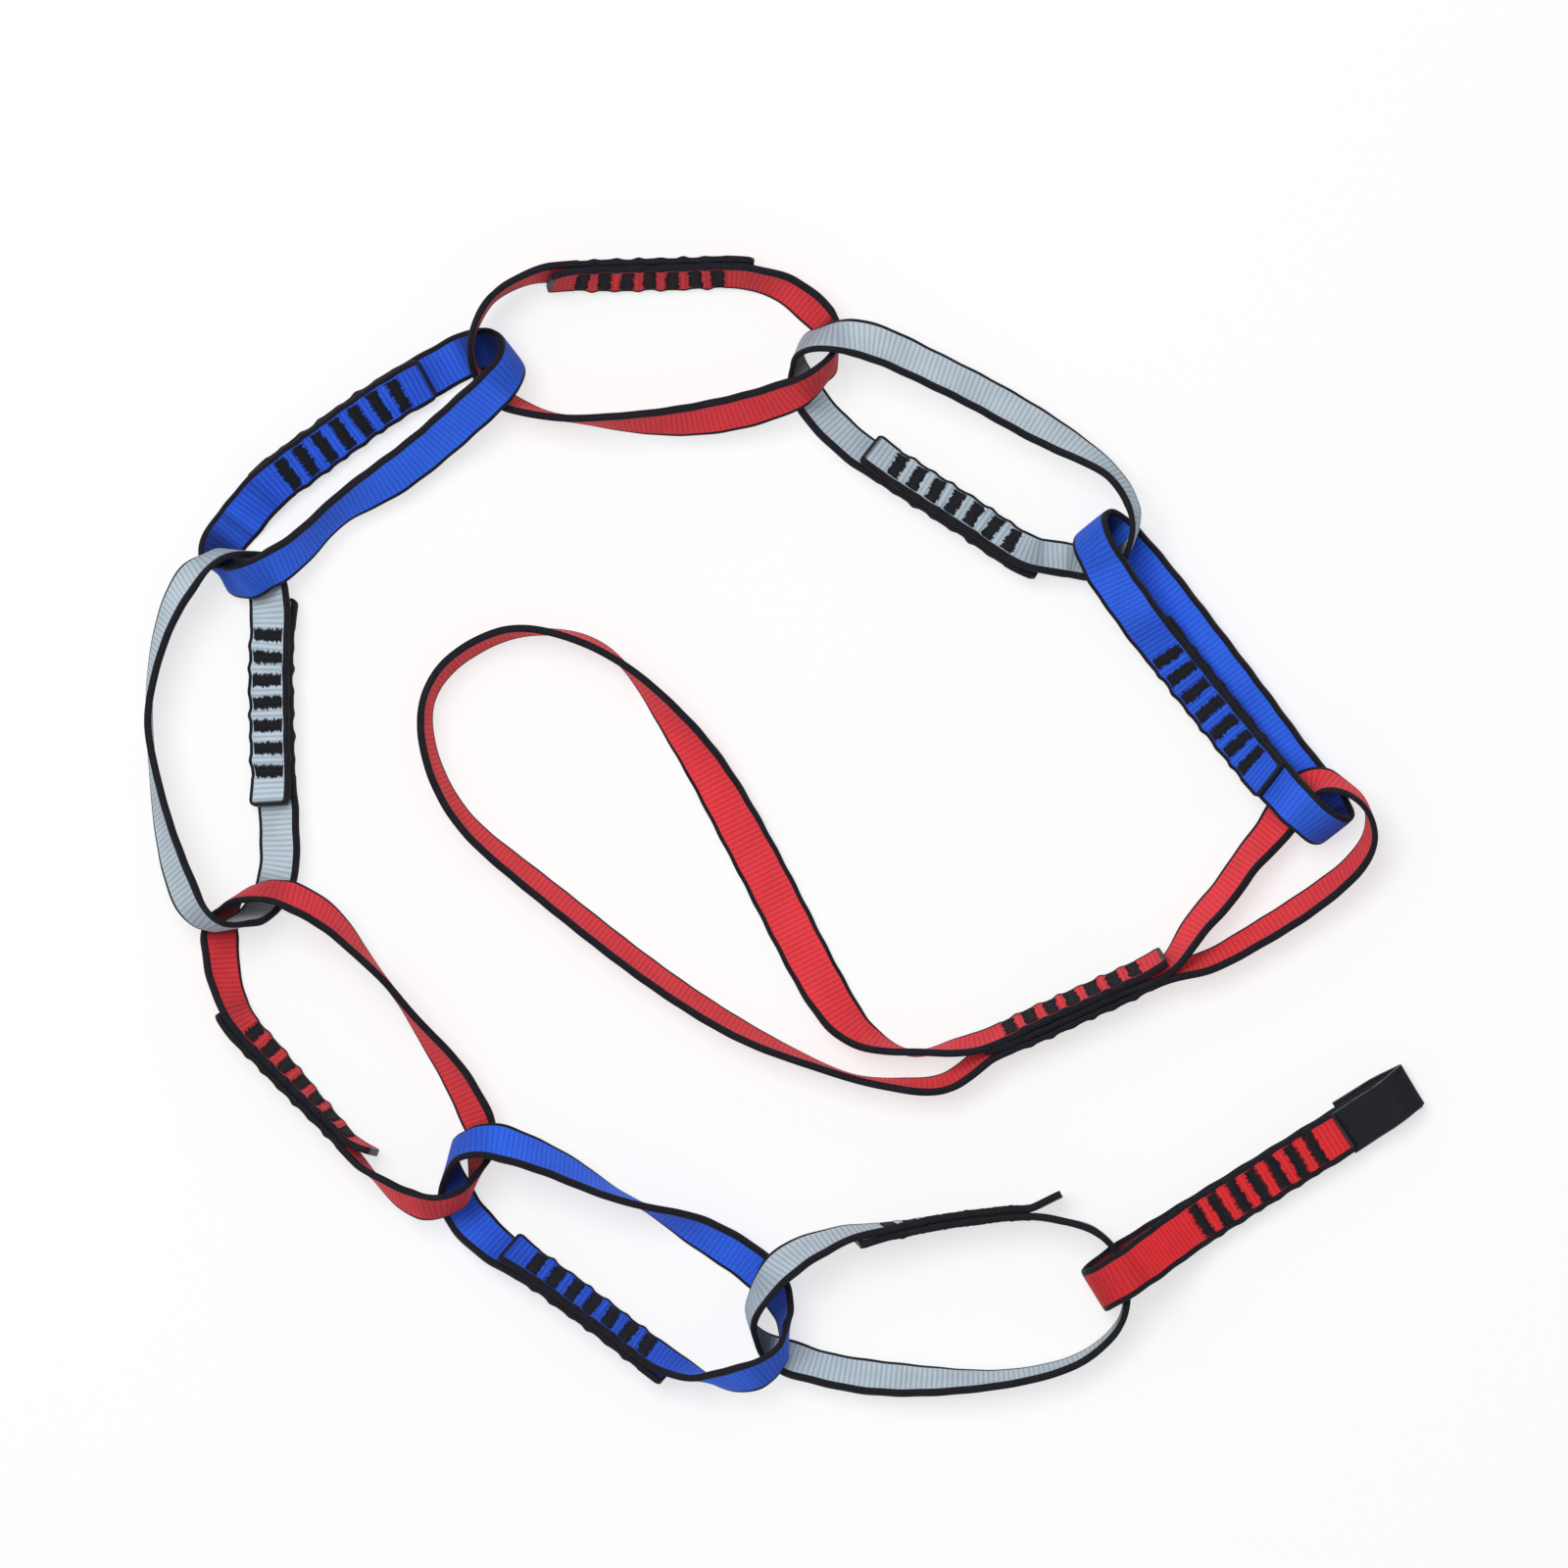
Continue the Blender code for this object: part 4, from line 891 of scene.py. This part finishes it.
# %% The folded label and its seam
# From the fold, the lower leaf reaches LABEL_LENGTH and the upper one UPPER_LEAF
LABEL_LENGTH = 0.0255
UPPER_LEAF = 0.0278
LEAF_WIDTH = 0.0158
# How far each leaf lies to the side of the strap's middle
UPPER_SHIFT = 0.0006
LOWER_SHIFT = -0.0020
LABEL_THICKNESS = 0.0009
LABEL_STEP = 0.0005
# Height of its ripples, the run in which they turn by a radian, and how much they slant
RIPPLE = 0.00012
RIPPLE_RUN = 0.0041
RIPPLE_SLANT = 2
LABEL_STITCH_MARGIN = 0.0018
LABEL_STITCHES = 7

end_strip = strips["end_link"]
heading = math.radians(LINKS[-1][2])
single = (end_strip.places > end_strip.lap + LAP_BLEND) & (end_strip.places < end_strip.loop)
reach = end_strip.middle[:, 0] * math.cos(heading) + end_strip.middle[:, 1] * math.sin(heading)
fold = end_strip.places[np.argmax(np.where(single, reach, -np.inf))]


def label_skin(places, across, height):
    """Points on the label, at a share of its half width and a height above the strap's middle."""
    middle, width, outward = end_strip.at(places)
    past_fold = ease((places - fold) / LABEL_LENGTH + 0.5)
    shift = LOWER_SHIFT + (UPPER_SHIFT - LOWER_SHIFT) * past_fold
    return middle + width * (across * LEAF_WIDTH / 2 + shift)[:, None] + outward * height[:, None]


def label_piece():
    """The label as one closed skin with soft edges."""
    count = round((LABEL_LENGTH + UPPER_LEAF) / LABEL_STEP)
    places = np.linspace(fold - LABEL_LENGTH, fold + UPPER_LEAF, count)
    ring, rows = section_ring(), []
    base = WEB_THICKNESS / 2 + LABEL_THICKNESS / 2
    for across, face in ring:
        half = LABEL_THICKNESS / 2 * (1 - abs(across) ** SECTION_POWER) ** (1 / SECTION_POWER)
        ripple = RIPPLE * np.sin(places / RIPPLE_RUN + RIPPLE_SLANT * across)
        rows.append(label_skin(places, np.full(len(places), across), base + face * half + ripple))
    facts = {
        "across_mm": np.tile([across * LEAF_WIDTH * 500 for across, _ in ring], len(places)),
        "along_mm": np.repeat(places * 1000, len(ring)),
    }
    faces = [face[::-1] for face in tube_faces(len(places), len(ring))]
    return add_mesh("folded_label", ring_points(rows), faces, facts)


def seam_route():
    """Running stitches across the label near its end."""
    steps = np.arange(2 * LABEL_STITCHES + 1)
    share = (LEAF_WIDTH - 2 * LABEL_STITCH_MARGIN) / WEB_WIDTH
    places = np.full(len(steps), fold + UPPER_LEAF - LABEL_STITCH_MARGIN)
    across = share * (2 * steps / steps[-1] - 1)
    return np.column_stack([places, across, np.where(steps % 2, RISE, -DIVE)])


label = label_piece()
seam = thread_piece("label_seam", end_strip, seam_route(), 1, LABEL_THICKNESS)
seam.data.materials.append(black_thread)
print(f"label {LEAF_WIDTH * 1000:.1f} mm wide, folded at {fold * 1000:.0f} mm along its strap")

# %% [markdown]
# Label cloth is a fine satin: warp lines so close that they read as a silky grain, a bit glossier
# than the webbing, with a painted highlight along its hot-cut edge.

# %% Black satin label cloth
SATIN_MM = 0.28
SATIN_DEPTH = 0.00004
SATIN_DEEP = (0.0040, 0.0048, 0.0080, 1.0)
SATIN_PALE = (0.0080, 0.0095, 0.0150, 1.0)
SATIN_ROUGH_SCALE = 300.0
SATIN_ROUGHNESS = 0.50
# The painted highlight along the hot-cut edge: its width, its colour and how sharply and patchily it
# begins
CUT_EDGE_MM = 0.40
PAINTED_EDGE_HIGHLIGHT = (0.26, 0.28, 0.30, 1.0)
CUT_CONTRAST = 5.0
CUT_SCALE = 500.0


def satin_surface(name):
    """Fine black label satin with a painted highlight along its cut edges."""
    surface, tree, shader = new_surface(name)
    across, along = carried(tree, "across_mm"), carried(tree, "along_mm")
    grain = reckon(tree, "SINE", reckon(tree, "MULTIPLY", across, 2 * math.pi / SATIN_MM))
    pick = reckon(tree, "SINE", reckon(tree, "MULTIPLY", along, 2 * math.pi / SATIN_MM))
    weave = reckon(tree, "MULTIPLY_ADD", reckon(tree, "MULTIPLY", grain, pick), 0.5, 0.5)
    cloth = blend_colour(tree, weave, SATIN_DEEP, SATIN_PALE)
    # Painted highlight: a pale band along both cut edges, patchy by noise
    edge = reckon(tree, "SUBTRACT", reckon(tree, "ABSOLUTE", across), LEAF_WIDTH * 500 - CUT_EDGE_MM)
    edge = reckon(tree, "MULTIPLY", edge, CUT_CONTRAST, clamp=True)
    edge = reckon(tree, "MULTIPLY", edge, cloudy(tree, CUT_SCALE))
    rough = cloudy(tree, SATIN_ROUGH_SCALE)
    rough = reckon(tree, "MULTIPLY_ADD", rough, ROUGH_SPAN, SATIN_ROUGHNESS)
    colour = blend_colour(tree, edge, cloth, PAINTED_EDGE_HIGHLIGHT)
    cover(tree, shader, colour, rough, CLOTH_SPECULAR, weave, SATIN_DEPTH)
    return surface


label_cloth = satin_surface("label_cloth")
label.data.materials.append(label_cloth)

# %% [markdown]
# ## What moves with what
# Every strap, its two threads and the label move as one with their loop. The straps are cloth.

# %% Tie every piece to its loop
for name, strip in strips.items():
    sewing = [threads[name, "needle"], threads[name, "bobbin"]]
    strap = straps[name]
    for piece in [strap] + sewing:
        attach(piece, name)
    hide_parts(f"{name}_webbing")
    for word, thread in zip(("needle", "bobbin"), sewing):
        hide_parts(f"{name}_{word}_thread")
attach(label, "end_link")
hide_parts("end_label")
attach(seam, "end_link")
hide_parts("label_stitching")
print(len(strips), "straps,", len(threads), "bar tack threads, one label and its seam")

# %% [markdown]
# ## Floor and light
# The chain was shot on a white ground. The floor is pale, and a little light of its own lifts it to
# white and keeps the soft shadows. A part of that light also reaches the straps, as it does from a
# lit white table, and brightens the faces that stand on edge.

# %% White floor
FLOOR_SIZE = 60.0
FLOOR_DROP = 0.0002
FLOOR_TONE = 0.36
# The floor's own light, as it is seen and as it falls on the straps
SEEN_GLOW = 0.65
TABLE_GLOW = 0.40


def seen_directly(tree):
    """1 for a look straight at a thing, at its mirror image or through it, and 0 for its light."""
    rays = tree.nodes.new("ShaderNodeLightPath")
    seen = reckon(tree, "MAXIMUM", rays.outputs["Is Camera Ray"], rays.outputs["Is Glossy Ray"])
    return reckon(tree, "MAXIMUM", seen, rays.outputs["Is Transmission Ray"])


half = FLOOR_SIZE / 2
corners = np.array([(-half, -half, 0), (half, -half, 0), (half, half, 0), (-half, half, 0)], float)
floor = add_mesh("floor", corners, [(0, 1, 2, 3)])
floor.location.z = -FLOOR_DROP
surface, tree, shader = new_surface("white_ground")
shader.inputs["Base Color"].default_value = (FLOOR_TONE, FLOOR_TONE, FLOOR_TONE, 1.0)
shader.inputs["Roughness"].default_value = 0.9
shader.inputs["Specular IOR Level"].default_value = 0.1
shader.inputs["Emission Color"].default_value = (1.0, 1.0, 1.0, 1.0)
glow = reckon(tree, "MULTIPLY_ADD", seen_directly(tree), SEEN_GLOW - TABLE_GLOW, TABLE_GLOW)
feed(tree, shader.inputs["Emission Strength"], glow)
floor.data.materials.append(surface)
print(f"a floor of {FLOOR_SIZE:.0f} m")

# %% [markdown]
# The light on the chain was very even. A large lamp above and a bright sky give that, at a level
# where a colour looks as it is written.

# %% Soft lamp and even sky
LAMP_HEIGHT = 3.2
LAMP_ASIDE = 0.9
LAMP_SIZE = 2.0
LAMP_SHARE = 0.86
# Divides the lamp's energy, so that a colour looks as it is written
LAMP_TRIM = 1.15
SKY_STRENGTH = 0.36

lamp_data = bpy.data.lights.new("soft_lamp", "AREA")
lamp_data.size = LAMP_SIZE
distance_squared = LAMP_HEIGHT ** 2 + LAMP_SIZE ** 2 / 4
lamp_data.energy = LAMP_SHARE * math.pi * distance_squared * math.pi / LAMP_TRIM
lamp = bpy.data.objects.new("soft_lamp", lamp_data)
lamp.location = (-LAMP_ASIDE, LAMP_ASIDE, LAMP_HEIGHT)
tilt = math.atan2(LAMP_ASIDE, LAMP_HEIGHT)
lamp.rotation_euler = (-tilt, -tilt, 0)
bpy.context.scene.collection.objects.link(lamp)

sky = bpy.data.worlds.new("even_sky")
sky.use_nodes = True
tree, background = sky.node_tree, sky.node_tree.nodes["Background"]
background.inputs["Color"].default_value = (1.0, 1.0, 1.0, 1.0)
strength = reckon(tree, "MULTIPLY_ADD", seen_directly(tree), 1 - SKY_STRENGTH, SKY_STRENGTH)
feed(tree, background.inputs["Strength"], strength)
bpy.context.scene.world = sky
bpy.context.scene.view_settings.view_transform = "Standard"
print(f"lamp {lamp_data.energy:.0f} W")
